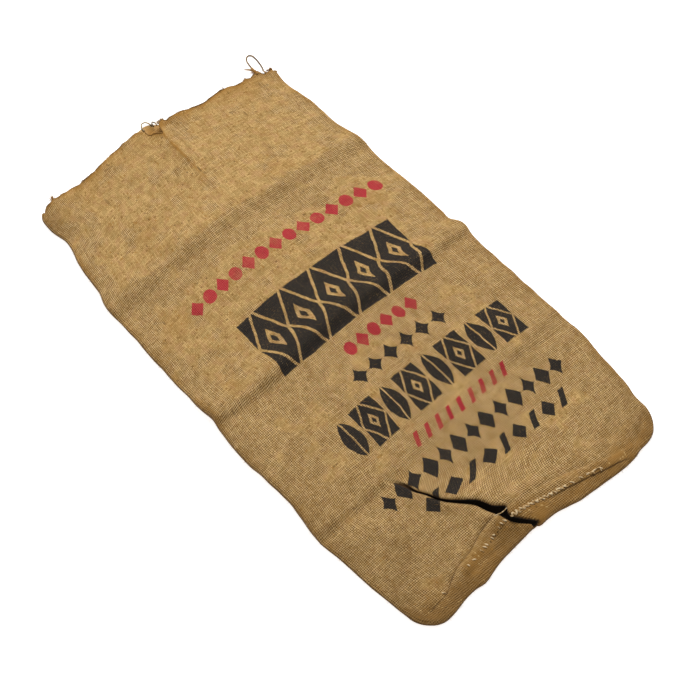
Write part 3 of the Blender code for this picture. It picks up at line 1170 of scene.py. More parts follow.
# %% Flecks and drifts
class Flecks(NamedTuple):
    """Short runs of yarn of another colour."""

    length: float  # metres
    rarity: float  # a run is odd where its random number is above this
    depth: float
    colour: tuple


FLECKS = (
    Flecks(0.0060, 0.994, 0.65, BARK_AND_SHADE),
    Flecks(0.0120, 0.975, 0.50, GOLD),
    Flecks(0.0180, 0.960, 0.60, PALE),
    Flecks(0.0090, 0.972, 0.75, BROWN),
    Flecks(0.0070, 0.985, 0.80, GOLD),
)
NEXT_YARN = 0.37  # how far the flecks of one yarn are set off from those of the next, in runs


class Drift(NamedTuple):
    """A slow change of hue over the cloth."""

    noise: str
    begins: float  # where it sets in, as a value of its noise
    full: float
    depth: float
    colour: tuple


DRIFTS = (
    Drift("small", 0.50, 0.64, 0.50, ROSE),
    Drift("small", 0.50, 0.36, 0.40, OLIVE),
    Drift("broad", 0.50, 0.72, 0.35, GOLD),
)
AGED, DUST_AND_SHADE_DEPTH = 0.92, 0.70  # how much of the yellowing, and of the dust with painted shade, shows


def flecked(paint, colour, yarns):
    """Adds short runs of odd colour to single yarns."""
    for order, row in enumerate(FLECKS):
        place = yarns.run / row.length + yarns.number * NEXT_YARN
        segment = paint.floor(place)
        seed = paint.together(yarns.number, segment, yarns.crossways * 5.0 + order * 3.0)
        chance = paint.node("ShaderNodeTexWhiteNoise", inputs={"Vector": seed})
        inside = 1.0 - abs((place - segment) * 2.0 - 1.0) ** 4.0
        colour = paint.mix((chance > row.rarity) * inside * row.depth, colour, row.colour)
    return colour


def jute_tones(paint, flat, yarns, warmth, dust_and_shade):
    """The bare cloth's colour: each yarn's tone, then broad drifts of hue, age, dust and painted shade."""
    colour = paint.mix(paint.eased(0.36, 0.64, yarns.tone), TAN, PALE)
    elsewhere = paint.node("ShaderNodeVectorMath", {"operation": "ADD"}, {0: flat, 1: (3, 1, 0)})
    noises = {"small": paint.noise(elsewhere, scale=60.0, detail=3.0)}
    noises["broad"] = paint.noise(flat, scale=11.0, detail=3.0)
    for row in DRIFTS:
        shown = paint.eased(row.begins, row.full, noises[row.noise])
        colour = paint.mix(shown * row.depth, colour, row.colour)
    colour = paint.mix(warmth * AGED, colour, GOLD)
    # dust, and painted shade on the creases, by the mouth's left corner and towards the low left
    colour = paint.mix(dust_and_shade * DUST_AND_SHADE_DEPTH, colour, DUST_AND_SHADE_TONE)
    return flecked(paint, colour, yarns)


print(len(FLECKS), "kinds of flecks and", len(DRIFTS), "drifts of hue")


# %% Stains
class Stain(NamedTuple):
    """A small dark mark on the cloth, as seen from above."""

    x: float
    y: float
    across: float
    along: float
    depth: float


STAINS = (
    Stain(13, 374, 2.0, 9.0, 0.75),
    Stain(15, 362, 3.2, 4.0, 0.55),
    Stain(-223, 160, 2.4, 5.0, 0.6),
    Stain(-118, 346, 1.6, 3.6, 0.7),
    Stain(-143, 335, 3.0, 2.4, 0.5),
    Stain(98, 300, 1.6, 2.6, 0.6),
    Stain(213, 258, 4.4, 1.8, 0.6),
    Stain(-243, -52, 2.2, 4.0, 0.5),
    Stain(205, -56, 2.2, 2.2, 0.85),
    Stain(-148, 426, 3.2, 13.0, 0.45),
    Stain(-104, 484, 12.0, 2.5, 0.45),
    Stain(154, 425, 2.0, 8.0, 0.55),
    Stain(-118, -420, 4.0, 4.0, 0.28),
)


def stained(paint, colour, plan_x, plan_y, front):
    """Adds the small dark marks to the front layer."""
    for mark in STAINS:
        x, y = (plan_x - mark.x) / mark.across, (plan_y - mark.y) / mark.along
        colour = paint.mix((1.0 - paint.eased(0.1, 1.3, x * x + y * y)) * front * mark.depth, colour, BARK_AND_SHADE)
    return colour


print(len(STAINS), "stains")

# %% [markdown]
# ## Yarns that stand in relief, with painted light and shade
# A yarn is bright on its crown and brown on its flanks, and the gaps between yarns look into the dark of the
# bag. This light and shade is painted into the colour: a painted highlight on each crown, painted shade on
# the flanks and in the gaps. In tight cloth both are slight, and in open cloth they are strong. So each
# strength is a pair, and a patchy noise says how open the cloth is.

# %% Light and shade of the yarns
FLANKS, GAPS, CROWNS = (0.54, 0.72), (0.50, 1.25), (0.12, 0.85)  # how strong the painted shade of flanks and gaps and the painted highlight of crowns are, in tight and in open cloth
GAPS_VARY, CROWNS_VARY = (0.45, 1.0), (0.3, 1.0)  # the least and the greatest share of it from spot to spot
AGE_DULLS, DUST_AND_SHADE_DULLS = 0.62, 0.40  # how much of the crowns' painted highlight is lost to age, and to dust with painted shade
MOTTLED_SHADE = 0.20  # how much soft mottled shade is painted over the cloth, standing in for the shade of small wrinkles


def shaded(paint, colour, flat, yarns, crown, openness, warmth, dust_and_shade):
    """Paints shade on the yarns' flanks and in the gaps between them, a highlight on their crowns, and a soft
    mottled shade over the cloth.
    """
    gap = 1.0 - paint.eased(0.15, 0.85, yarns.height)
    uneven = paint.eased(0.36, 0.64, paint.noise(flat, scale=170.0))
    clean = (1.0 - AGE_DULLS * warmth) * (1.0 - DUST_AND_SHADE_DULLS * dust_and_shade)
    gaps = gap * paint.blend(*GAPS, openness) * paint.blend(*GAPS_VARY, uneven)
    crowns = crown * paint.blend(*CROWNS, openness) * paint.blend(*CROWNS_VARY, uneven) * clean
    # painted shade on the flanks and in the gaps, and a painted highlight on the crowns
    colour = paint.mix((1.0 - crown) * paint.blend(*FLANKS, openness), colour, BROWN)
    colour = paint.mix(gaps, colour, BARK_AND_SHADE)
    colour = paint.mix(crowns, colour, LIT)
    # soft mottled painted shade, for the shade of small wrinkles
    mottled_shade = paint.eased(0.44, 0.60, paint.noise(flat, scale=52.0, detail=5.0))
    return paint.mix(mottled_shade * MOTTLED_SHADE, colour, BROWN)


print("the flanks are up to", FLANKS[1], "brown")

# %% [markdown]
# ## Ink on coarse cloth
# The print sits on the yarn tops, frays at its outlines and has rubbed off where the bag was handled.
# On a yarn's crown the ink is painted lighter, as a highlight.

# %% Inks
BLACK_COVERS, RED_COVERS, RED_RUBS = 0.98, 0.95, 0.25
ALWAYS_MISSED, WORN_OFF = 0.12, 0.35  # how much of the ink the small misses lack, in fresh and in worn cloth


def inked(paint, colour, flat, place, ragged, crown, worn, front):
    """Lays the black and the red print on the front layer, with each ink painted lighter on the yarns' crowns
    as a highlight.
    """
    missed = paint.eased(0.56, 0.70, paint.noise(flat, scale=500.0))
    held = (1.0 - missed * (ALWAYS_MISSED + WORN_OFF * worn)) * front
    black = printed(paint, "black", *place, ragged) * held * BLACK_COVERS
    red = printed(paint, "red", *place, ragged) * held * (1.0 - RED_RUBS * worn) * RED_COVERS
    colour = paint.mix(black, colour, paint.mix(crown, BLACK_INK, BLACK_CROWN))
    return paint.mix(red, colour, paint.mix(crown, RED_INK, RED_CROWN))


print(f"the red has rubbed off by up to {RED_RUBS:.0%}")

# %% [markdown]
# ## Painted shade along the seam
# The needle left a hole at every stitch, the band's lower lip throws a thin shade, and the cloth tucks in
# along a narrow groove above the band. These shades are too fine for the mesh, so the material paints them at
# their distance from the sewn line: painted shade in the holes, under the lip and in the tuck. The pleat,
# which closes on itself, gets its shade painted in the same way, with its dark combed along the yarns.

# %% Seam and pleat shade
class Mark(NamedTuple):
    """A line of painted shade along the seam, in millimetres. It begins and ends softly, so each is a pair.
    """

    begins: tuple
    ends: tuple
    below: float  # the sewn line
    reach: tuple  # from its middle to where it is no longer full, and to where it is gone
    dark: float


HOLES = Mark(begins=(-125.0, -95.0), ends=(60.0, 85.0), below=2.4, reach=(0.6, 2.2), dark=0.9)
STEP_SHADE = Mark(begins=(22.0, 60.0), ends=(150.0, 172.0), below=4.2, reach=(0.3, 1.8), dark=0.85)
TUCK_WIDTH, TUCK_DARK, TUCK_WEAR = (0.3, 2.2), 0.8, (0.55, 1.0)  # its wear: fresh cloth, worn cloth
FAINT_TUCK_X, FAINTER = ((-60.0, -20.0), (185.0, 200.0)), 0.8  # where less of it shows, and how much less
COMB, COMB_DEPTH = (110.0, 480.0), 0.9  # how fine the combing is across and along the sack, and how strong


def marked(paint, mark, plan_x, below_seam):
    """How dark one mark makes a place, from 0 to 1."""
    here = paint.between(mark.begins, mark.ends, plan_x)
    return paint.near(*mark.reach, below_seam - mark.below) * here * mark.dark


def seam_marks(paint, plan_x, wobble, worn):
    """How much painted shade the needle holes, the step and the tuck put on a place, from 0 to 1."""
    below_seam, below_tuck, _ = paint.apart(paint.attribute("seam", "Vector"))
    needle = paint.math("SINE", plan_x * (2.0 * math.pi / STITCH_PITCH) + wobble)
    holes = paint.eased(0.35, 0.9, needle) * marked(paint, HOLES, plan_x, below_seam)
    step = marked(paint, STEP_SHADE, plan_x, below_seam + wobble)
    shown = 1.0 - FAINTER * paint.between(*FAINT_TUCK_X, plan_x)
    tuck = paint.near(*TUCK_WIDTH, below_tuck + wobble) * shown * paint.blend(*TUCK_WEAR, worn) * TUCK_DARK
    return paint.most(paint.most(holes, step), tuck)


def pleat_shaded(paint, colour, pleat_painted_shade, across, along):
    """Paints the shade of what the pleat hides, near black, with an edge combed along the yarns."""
    strands = paint.together(across * COMB[0], along * COMB[1], 5.0)
    at_edge = 1.0 - abs(pleat_painted_shade * 2.0 - 1.0)
    deep = pleat_painted_shade + (paint.noise(strands, scale=1.0) - 0.5) * COMB_DEPTH * at_edge
    colour = paint.mix(paint.eased(0.10, 0.50, deep) * 0.9, colour, BARK_AND_SHADE)
    return paint.mix(paint.eased(0.35, 0.80, deep) * 0.97, colour, SHADE)


print("needle holes every", STITCH_PITCH, "mm")

# %% [markdown]
# ## Hessian, all together
# The yarns of real cloth wander, so the flat coordinates are bent by a slow noise before the weave is drawn.
# Then the layers of the last cells are laid over one another: tone, stains, the painted light and shade of
# the yarns, ink, the seam's painted shade, the frayed edge with the painted shade of the folds, and the
# pleat's painted shade. The fine relief of the yarns goes into a Bump node.

# %% Hessian
WANDER = 9 * MM  # how far the yarns stray from straight lines
FRAY, WOBBLE = 2.6, 2.4  # millimetres by which an inked outline and a seam mark wander
STRETCH = 0.36  # how strongly the sack's own stretched places open the weave
# how dark the frayed mouth edge and the painted shade on the folds' sides are, and how much they wander
EDGE_DARK, EDGE_WOBBLE = 0.90, 0.12
FIBRES, SEAM_SINKS = 0.35, 1.2  # shares of the fine relief


def wandering_yarns(paint, flat):
    """The cloth's flat coordinates, bent so that no yarn runs quite straight."""
    swirl = {"Vector": flat, "Scale": 14.0, "Detail": 3.0, "Roughness": 0.68}
    drift = paint.node("ShaderNodeTexNoise", inputs=swirl, output=1)
    inputs = {0: drift, 1: (WANDER,) * 3, 2: flat}
    return paint.apart(paint.node("ShaderNodeVectorMath", {"operation": "MULTIPLY_ADD"}, inputs))


def hessian():
    """The woven, yellowed and printed jute."""
    paint = Paint("hessian", roughness=0.92)
    flat = paint.attribute("flat", "Vector")
    plan_x, plan_y, _ = paint.apart(paint.attribute("plan", "Vector"))
    front, rim, pleat_painted_shade = (paint.attribute(name) for name in ("front", "rim", "pleat_painted_shade"))
    # the second of these carries dust and painted shade
    warmth, dust_and_shade, opened = (paint.attribute(name) for name in ("warmth", "dust_and_shade", "opened"))

    across, along, _ = wandering_yarns(paint, flat)
    patchy = paint.noise(flat, scale=24.0, detail=3.0)
    openness = paint.eased(0.43, 0.58, patchy + (opened - 0.5) * STRETCH)
    yarns = weave(paint, across, along, openness)
    crown = paint.eased(0.55, 1.45, yarns.height)
    fuzzy = paint.noise(flat, scale=420.0) - 0.5
    worn = paint.eased(0.40, 0.75, paint.noise(flat, scale=18.0, detail=3.0))
    wobble = fuzzy * WOBBLE
    sewn = seam_marks(paint, plan_x, wobble, worn) * front

    colour = jute_tones(paint, flat, yarns, warmth, dust_and_shade)
    colour = stained(paint, colour, plan_x, plan_y, front)
    colour = shaded(paint, colour, flat, yarns, crown, openness, warmth, dust_and_shade)
    colour = inked(paint, colour, flat, (across / MM, along / MM), fuzzy * FRAY, crown, worn, front)
    # the seam's painted shade: needle holes, the step and the tuck
    colour = paint.mix(sewn, colour, BARK_AND_SHADE)
    # the frayed mouth edge's brown, and the painted shade where the folds turn down
    colour = paint.mix(paint.eased(0.20, 0.85, rim + wobble * EDGE_WOBBLE) * EDGE_DARK, colour, RIM_FRAY_AND_SHADE)
    # the pleat's painted shade
    colour = pleat_shaded(paint, colour, pleat_painted_shade, across, along)

    relief = yarns.height + paint.noise(flat, scale=900.0) * FIBRES - sewn * SEAM_SINKS
    paint.feed(paint.shader.inputs["Roughness"], 0.97 - 0.12 * yarns.tone)
    paint.shader.inputs["Sheen Weight"].default_value = 0.04
    paint.shader.inputs["Sheen Roughness"].default_value = 0.6
    return paint.finish(colour, relief, distance=0.6 * MM, strength=0.65)


hessian_material = hessian()
print("hessian has", len(hessian_material.node_tree.nodes), "nodes")


# %% [markdown]
# ## Yarn, twine and fibres
# Loose yarn is the same jute without the weave. A yarn's twist shows as slanting strands, and each stitch
# or fibre has a tone of its own, from noise read at its place.

# %% Jute yarn
CREAM, STRAW, RUST = (0.90, 0.70, 0.42, 1), (0.40, 0.24, 0.09, 1), (0.25, 0.115, 0.025, 1)
TAUPE, UMBER = (0.33, 0.215, 0.105, 1), (0.13, 0.080, 0.042, 1)
FADED, DULL = (0.50, 0.38, 0.22, 1), (0.17, 0.115, 0.060, 1)


def jute(name, dark, light, grain, stranded):
    """Loose jute in a mixture of two tones, with slanting strands of a third."""
    paint = Paint(name, roughness=0.9)
    place = paint.node("ShaderNodeTexCoord", output="Object")
    x, y, z = paint.apart(place)
    tone = paint.noise(place, scale=grain)
    strands = paint.noise(paint.together(x + y, x - y, z * 2.0), scale=1400.0)
    colour = paint.mix(paint.eased(0.35, 0.66, tone), dark, light)
    colour = paint.mix(paint.eased(0.50, 0.70, strands) * stranded, colour, BROWN)
    return paint.finish(colour, strands, distance=0.2 * MM, strength=0.4)


yarn_material = jute("loop_yarn", UMBER, TAUPE, grain=60.0, stranded=0.1)
twine_material = jute("seam_twine", STRAW, CREAM, grain=190.0, stranded=0.35)
curl_material = jute("curled_yarn", DULL, FADED, grain=110.0, stranded=0.2)
fibre_material = jute("loose_fibres", RUST, STRAW, grain=90.0, stranded=0.35)
print("four kinds of loose jute")


# %% [markdown]
# ## The bag
# The bag is one sheet. A grid becomes the front layer. Its sides and bottom are then extruded, step by step,
# round a fold and a little way under, and the back layer closes what is left, open at the mouth. Solidify
# gives the sheet its wall. The grid's lines are drawn closer together where the cloth bends sharply, and
# they lean with the pleat so that its lip stays crisp. Some data travel with the points: `flat` is the place
# on the uncut cloth, for the weave, and `calm` the place seen from above, with 1 for the front layer and -1
# for the back. `start` and `outward` say where a fold begins and which way it turns.

# %% Grid spacing
COLUMNS, ROWS = 150, 236
SPACING_STEPS = 2001  # how finely the crowding of the lines is added up
FOLD_TURNS = (20, 42, 65, 90, 115, 138, 160, 180)  # degrees round the fold
PLEAT_COLUMN = -72.0  # this column of the grid leans to run along the pleat,
LEAN_REACH, LEAN_FADE = 200.0, 90.0  # and takes its neighbours along, less and less above the pleat


class Spot(NamedTuple):
    """Where the grid's lines crowd together: the place, how far from it, and how much."""

    place: float
    reach: float
    boost: float


COLUMN_SPOTS = (Spot(-72, 36, 2.2), Spot(17, 14, 1.2))
ROW_SPOTS = (
    Spot(-475, 45, 1.0),
    Spot(-457, 9, 1.8),
    Spot(-12, 38, 0.6),
    Spot(262, 28, 0.4),
    Spot(512, 16, 0.8),
)


def crowded(length, spots):
    """A function that moves evenly spaced fractions of a length closer together around its spots."""
    places = np.linspace(-length / 2, length / 2, SPACING_STEPS)
    density = 1 + sum(spot.boost * bell(places - spot.place, spot.reach) for spot in spots)
    travelled = np.concatenate(([0.0], np.cumsum((density[1:] + density[:-1]) / 2)))
    return lambda fraction: np.interp(fraction * travelled[-1], travelled, places) / length + 0.5


def column_lean(x, y):
    """How far a column of the grid moves aside, so that one of them runs along the pleat."""
    beside = np.maximum(0.0, 1 - ((x - PLEAT_COLUMN) / LEAN_REACH) ** 2) ** 2
    above = np.maximum(0.0, y - PLEAT[0].y)
    return (PLEAT_X(y) - PLEAT_COLUMN) * beside * bell(above, LEAN_FADE)


print(COLUMNS * ROWS, "faces in the front layer")


# %% Front layer
def front_layer(bm, flat, calm):
    """A grid laid in the front layer's plan and relief. Returns its side and bottom edges, one chain."""
    bmesh.ops.create_grid(bm, x_segments=COLUMNS, y_segments=ROWS, size=0.5)
    fractions = np.array([vert.co[:2] for vert in bm.verts]).T + 0.5
    u, v = crowded(WIDTH, COLUMN_SPOTS)(fractions[0]), crowded(LENGTH, ROW_SPOTS)(fractions[1])
    u = u + column_lean((u - 0.5) * WIDTH, (v - 0.5) * LENGTH) / WIDTH
    x, y = plan(u, v)
    y = y - notch(x) * bell((1 - v) * LENGTH, NOTCH_FADE)
    y = y + ragged_mouth(x) * bell((1 - v) * LENGTH, RAGGED_REACH)
    share = grain_share(x, y)
    for vert, place, u_here, v_here, x_here, y_here in zip(bm.verts, settle(x, y).T, u, share, x, y):
        vert.co = place
        vert[flat] = ((u_here - 0.5) * WIDTH * MM, (v_here - 0.5) * LENGTH * MM, 0.0)
        vert[calm] = (x_here * MM, y_here * MM, 1.0)
    mouth_row = {vert for vert, fraction in zip(bm.verts, fractions[1]) if fraction > 1 - 0.5 / ROWS}
    return [edge for edge in bm.edges if edge.is_boundary and not set(edge.verts) <= mouth_row]


print("the middle column lies at", crowded(WIDTH, COLUMN_SPOTS)(0.5).round(3), "of the width")


# %% Folds
def outward_directions(chain, calm):
    """For each point of the chain, the level direction that points out of the sack."""
    beside = {}
    for edge in chain:
        for vert in edge.verts:
            beside.setdefault(vert, []).append(edge.other_vert(vert))
    directions = {}
    for vert, others in beside.items():
        first, last = others if len(others) == 2 else (others[0], vert)
        run = first[calm] - last[calm]
        across = Vector((run.y, -run.x, 0.0)).normalized()
        directions[vert] = across if across.dot(vert[calm]) > 0 else -across
    return directions


def extrude_chain(bm, chain):
    """Extrudes the chain once and returns the new chain and its points."""
    grown = bmesh.ops.extrude_edge_only(bm, edges=chain)["geom"]
    points = {item for item in grown if isinstance(item, bmesh.types.BMVert)}
    edges = [item for item in grown if isinstance(item, bmesh.types.BMEdge) and set(item.verts) <= points]
    return edges, points


def fold_under(bm, chain, flat, calm, outward, start):
    """Carries the side and bottom edges round their folds and a little way along the back layer."""
    for vert, direction in outward_directions(chain, calm).items():
        vert[outward] = direction
        vert[start] = vert.co
    for turn in FOLD_TURNS:
        chain, points = extrude_chain(bm, chain)
        angle = math.radians(turn)
        for vert in points:
            middle_z, half = (vert[start].z + BACK_Z) / 2, (vert[start].z - BACK_Z) / 2
            vert.co = vert[start] + vert[outward] * FOLD_BULGE * math.sin(angle)
            vert.co.z = middle_z + half * math.cos(angle)
            vert[flat] = vert[flat] + vert[outward] * (half + FOLD_BULGE) / 2 * math.pi / len(FOLD_TURNS)
            vert[calm] = (vert[calm].x, vert[calm].y, math.cos(angle))
    chain, points = extrude_chain(bm, chain)
    for vert in points:
        vert.co = vert[start] - vert[outward] * FLAT_BORDER
        vert.co.z = BACK_Z
        vert[flat] = vert[flat] + vert[outward] * FLAT_BORDER
        vert[calm] = (vert[calm].x, vert[calm].y, -1.0)
    return chain, points


print("the cloth turns round each fold in", len(FOLD_TURNS), "steps")


# %% Back layer
def back_layer(bm, chain, points, flat, calm):
    """Closes the back layer flat between its border and its mouth edge."""
    ends = [vert for vert in points if sum(vert in edge.verts for edge in chain) == 1]
    left, right = sorted(ends, key=lambda vert: vert.co.x)
    mouth_line = [left]
    for step in range(1, COLUMNS):
        x = left.co.x + (right.co.x - left.co.x) * step / COLUMNS
        vert = bm.verts.new((x, BACK_MOUTH_Y(x / MM) * MM, BACK_Z))
        vert[flat] = left[flat].lerp(right[flat], step / COLUMNS)
        vert[calm] = (vert.co.x, vert.co.y, -1.0)
        mouth_line.append(vert)
    mouth_line.append(right)
    edges = [bm.edges.new(pair) for pair in zip(mouth_line, mouth_line[1:])]
    bmesh.ops.triangle_fill(bm, use_beauty=True, use_dissolve=False, edges=chain + edges)


print(f"the back layer's mouth lies at y = {BACK_MOUTH_Y(0):.0f} mm in the middle")


# %% [markdown]
# ## Finishing a piece
# Every piece ends the same way: its mesh is shaded smooth, it gets its material, and it rides on the body
# of the sack. A sack has no joint, so all of it rides on the one body called root.

# %% Finish
BODY = "root"


def new_object(name, data, material):
    """Links an object, gives it its material and hands it to the sack's body."""
    data.materials.append(material)
    piece = bpy.data.objects.new(name, data)
    bpy.context.scene.collection.objects.link(piece)
    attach(piece, BODY)
    return piece


def mesh_of(name, bm):
    """Turns a finished bmesh into a smooth mesh with its faces outwards."""
    bmesh.ops.recalc_face_normals(bm, faces=bm.faces)
    mesh = bpy.data.meshes.new(name)
    bm.to_mesh(mesh)
    bm.free()
    mesh.shade_smooth()
    return mesh


def give(mesh, name, kind, field, values):
    """Stores a number or a vector for each point of a mesh."""
    mesh.attributes.new(name, kind, "POINT").data.foreach_set(field, np.asarray(values, float).ravel())


print("all pieces ride on the body", BODY)


# %% [markdown]
# ## Where the cloth has aged, and where shade is painted
# Cloth yellows where it is handled, gathers dust on its sewn band and is darker towards its bottom and along
# its sides, and its weave opens where it is stretched. Shade is painted in with the dust: on the steep side
# of each crease, below the upper crease, by the mouth's left corner and towards the low left part, and the
# weave is opened below each crease so that its painted gaps darken that band as shade. Each is worked out for
# every point from how near it is to an edge, a crease or the seam, and stored as an attribute that the
# material reads.

# %% Where it ages
BLOTCH = Ripple(seed=31, cell=46, turn=0.7)
SPECKLE = Ripple(seed=32, cell=15, turn=1.9)
WARM_VARIES = (0.75, 0.5, 0.25)  # evenly, by blotches and by speckles
DUST_AND_SHADE_VARIES = (0.8, 0.6)  # evenly, and by blotches


class Rim(NamedTuple):
    """What happens within reach of one of the sack's edges."""

    edge: str
    reach: float
    warm: float = 0.0
    dusty_and_shaded: float = 0.0
    opened: float = 0.0


RIMS = (
    Rim("side", 9, warm=0.9),
    Rim("side", 45, opened=0.45),
    Rim("mouth", 7, warm=1.2),
    Rim("mouth", 45, warm=0.45),
    Rim("bottom", 26, warm=1.0),
    Rim("bottom", 45, warm=0.7),
    Rim("bottom", 60, dusty_and_shaded=0.50),
)


class Patch(NamedTuple):
    """A patch of the cloth that is warmer, darker or more open than the rest: its middle, its two reaches and
    what happens there. The darker ones below the upper crease are painted shade.
    """

    x: float
    y: float
    across: float
    along: float
    warm: float = 0.0
    dusty_and_shaded: float = 0.0
    opened: float = 0.0


PATCHES = (
    Patch(26, 503, 9, 9, warm=1.1),
    # painted shade in the band below the upper crease, in this patch and the next
    Patch(-225, 230, 45, 13, dusty_and_shaded=0.28),
    Patch(50, 243, 38, 10, dusty_and_shaded=0.40),
    Patch(-212, -182, 30, 30, dusty_and_shaded=0.15),
    Patch(-190, -386, 22, 22, dusty_and_shaded=0.30),
    Patch(40, 468, 22, 30, opened=0.7),
)
print(len(RIMS), "rims and", len(PATCHES), "patches")


# %% Broad changes
class Rise(NamedTuple):
    """An amount that sets in softly between two values of what it follows."""

    amount: float
    begins: float
    full: float

    def at(self, value):
        return self.amount * eased(self.begins, self.full, value)


BAND_WARM, BAND_DUST = Rise(0.90, 0, 12), Rise(0.22, -2, 10)  # down from the tuck
RIDGE_WARM, RIDGE_LINE = Rise(1.6, 260, 420), 2.3  # up along the middle crease, and how far beside it
STREAK, STREAK_X, STREAK_REACH = Rise(0.9, 395, 420), -248, 22  # painted shade by the mouth's left corner, where the cloth bends down
STREAK_STOPS = Rise(1, 486, 455)
SIDE_DARKENING, SIDE_REACH = Rise(0.35, 300, -300), 30  # darker along the sides, more so lower down
# painted shade: the cloth is painted darker towards the low left, where less light falls
LOW_PAINTED_SHADE, LOW_LEFT, LEFT_PAINTED_SHADE = Rise(0.40, -60, -440), Rise(1, 160, -200), Rise(0.10, 60, -200)
# painted shade on each crease's steep side, which faces away from the lamp
CREASE_PAINTED_SHADE, CREASE_FOOT, CREASE_REACH = 0.12, 0.6, 8  # how much, where on its steep side, and how far
TIGHT, LOW_OPEN = 0.28, Rise(0.46, 160, -240)  # the weave is everywhere this open, and opens downwards
CREASE_OPEN, CREASE_CLOSES = Rise(0.6, -4, 6), Rise(1, 40, 90)  # below each crease, where the opened weave's painted gaps darken the band as shade
print(f"the weave is up to {TIGHT + LOW_OPEN.amount:.2f} open before the creases are counted")


# %% Ageing
def aged(rows, closeness):
    """Adds up how warm, how dark with dust and painted shade, and how open the rows of a table make each
    place.
    """
    kinds = [(row.warm, row.dusty_and_shaded, row.opened) for row in rows]
    return sum(np.multiply.outer(kind, near) for kind, near in zip(kinds, closeness))


def warmed(x, y):
    """Where the sewn band and the upper end of the middle crease have yellowed."""
    band = sewn_here(x) * BAND_WARM.at(TUCK_Y(x) - y)
    return band + RIDGE_WARM.at(y) * bell(x - RIDGE_X(y), RIDGE_LINE)


def dusted_and_shaded(x, y, off_side):
    """Where the cloth is darker: painted shade by the mouth's left corner, towards the low left part and on
    the steep side of each crease, darker along the sides, and dust on the sewn band.
    """
    streak = STREAK.at(y) * STREAK_STOPS.at(y) * bell(x - STREAK_X, STREAK_REACH)
    sides = SIDE_DARKENING.at(y) * bell(off_side, SIDE_REACH)
    low_left = LOW_PAINTED_SHADE.at(y) * LOW_LEFT.at(x) + LEFT_PAINTED_SHADE.at(x)
    feet = [crest(x) - row.fall * CREASE_FOOT for crest, row in zip(CREST_Y, CREASES)]
    creases = CREASE_PAINTED_SHADE * sum(bell(y - foot, CREASE_REACH) for foot in feet)
    return streak + sides + low_left + creases + sewn_here(x) * BAND_DUST.at(TUCK_Y(x) - y)


def loosened(x, y):
    """Where the weave has opened: towards the bottom, and in a band below each crease, where its painted gaps
    stand for the crease's shade.
    """
    below = [crest(x) - y for crest in CREST_Y]
    return TIGHT + LOW_OPEN.at(y) + sum(CREASE_OPEN.at(drop) * (1 - CREASE_CLOSES.at(drop)) for drop in below)


def ageing(x, y):
    """How warm, how dark with dust and painted shade, and how openly woven the cloth is at a place, each from
    0 to 1.
    """
    off_edge = {
        "side": np.minimum(x - SIDE_X["left"](y), SIDE_X["right"](y) - x),
        "mouth": FRONT_MOUTH_Y(x) - notch(x) - y,
        "bottom": y - BOTTOM_Y(x),
    }
    rims = aged(RIMS, (bell(off_edge[row.edge], row.reach) for row in RIMS))
    offs = (np.hypot((x - row.x) / row.across, (y - row.y) / row.along) for row in PATCHES)
    warm, dusty_and_shaded, opened = rims + aged(PATCHES, (bell(off, 1) for off in offs))
    warm_here = np.dot(WARM_VARIES, (np.ones_like(x), BLOTCH(x, y), SPECKLE(x, y)))
    dusty_and_shaded_here = np.dot(DUST_AND_SHADE_VARIES, (np.ones_like(x), BLOTCH(y, x)))
    warm = (warm + warmed(x, y)) * warm_here
    dusty_and_shaded = (dusty_and_shaded + dusted_and_shaded(x, y, off_edge["side"])) * dusty_and_shaded_here
    return [np.clip(amount, 0, 1) for amount in (warm, dusty_and_shaded, opened + loosened(x, y))]


print("warm, dusty and open in the middle:", [round(float(amount), 2) for amount in ageing(0.0, 0.0)])


# %% Marks for the material
CUT_EDGE_REACH = 3.0  # how far into the cloth the frayed edge of the mouth is dark
OUT_OF_REACH = 900  # moves the seam's marks off the cloth past its ends
FULL_TUCK, LEAST_TUCK = 1.8, 0.25  # a tuck this deep shows at full width, and no tuck shows narrower
PLEAT_RIM, PLEAT_FLAP = (-6, -1), (16, 31)  # where across the S the pleat's shade begins and ends
LOW_FLAP = Rise(5, -452, -464)  # lower down, its end moves on by this much
FRAY_DARK = (0.8, 0.5)  # evenly, and by speckles


def in_pleat(x, y):
    """The pleat's painted shade: 1 down inside the pleat and 0 outside it, sharp at its left rim and soft on
    the flap.
    """
    at = across_pleat(x, y)
    soft_end = PLEAT_FLAP[1] + LOW_FLAP.at(y)
    return PLEAT_STRENGTH(y) * eased(*PLEAT_RIM, at) * (1 - eased(PLEAT_FLAP[0], soft_end, at))


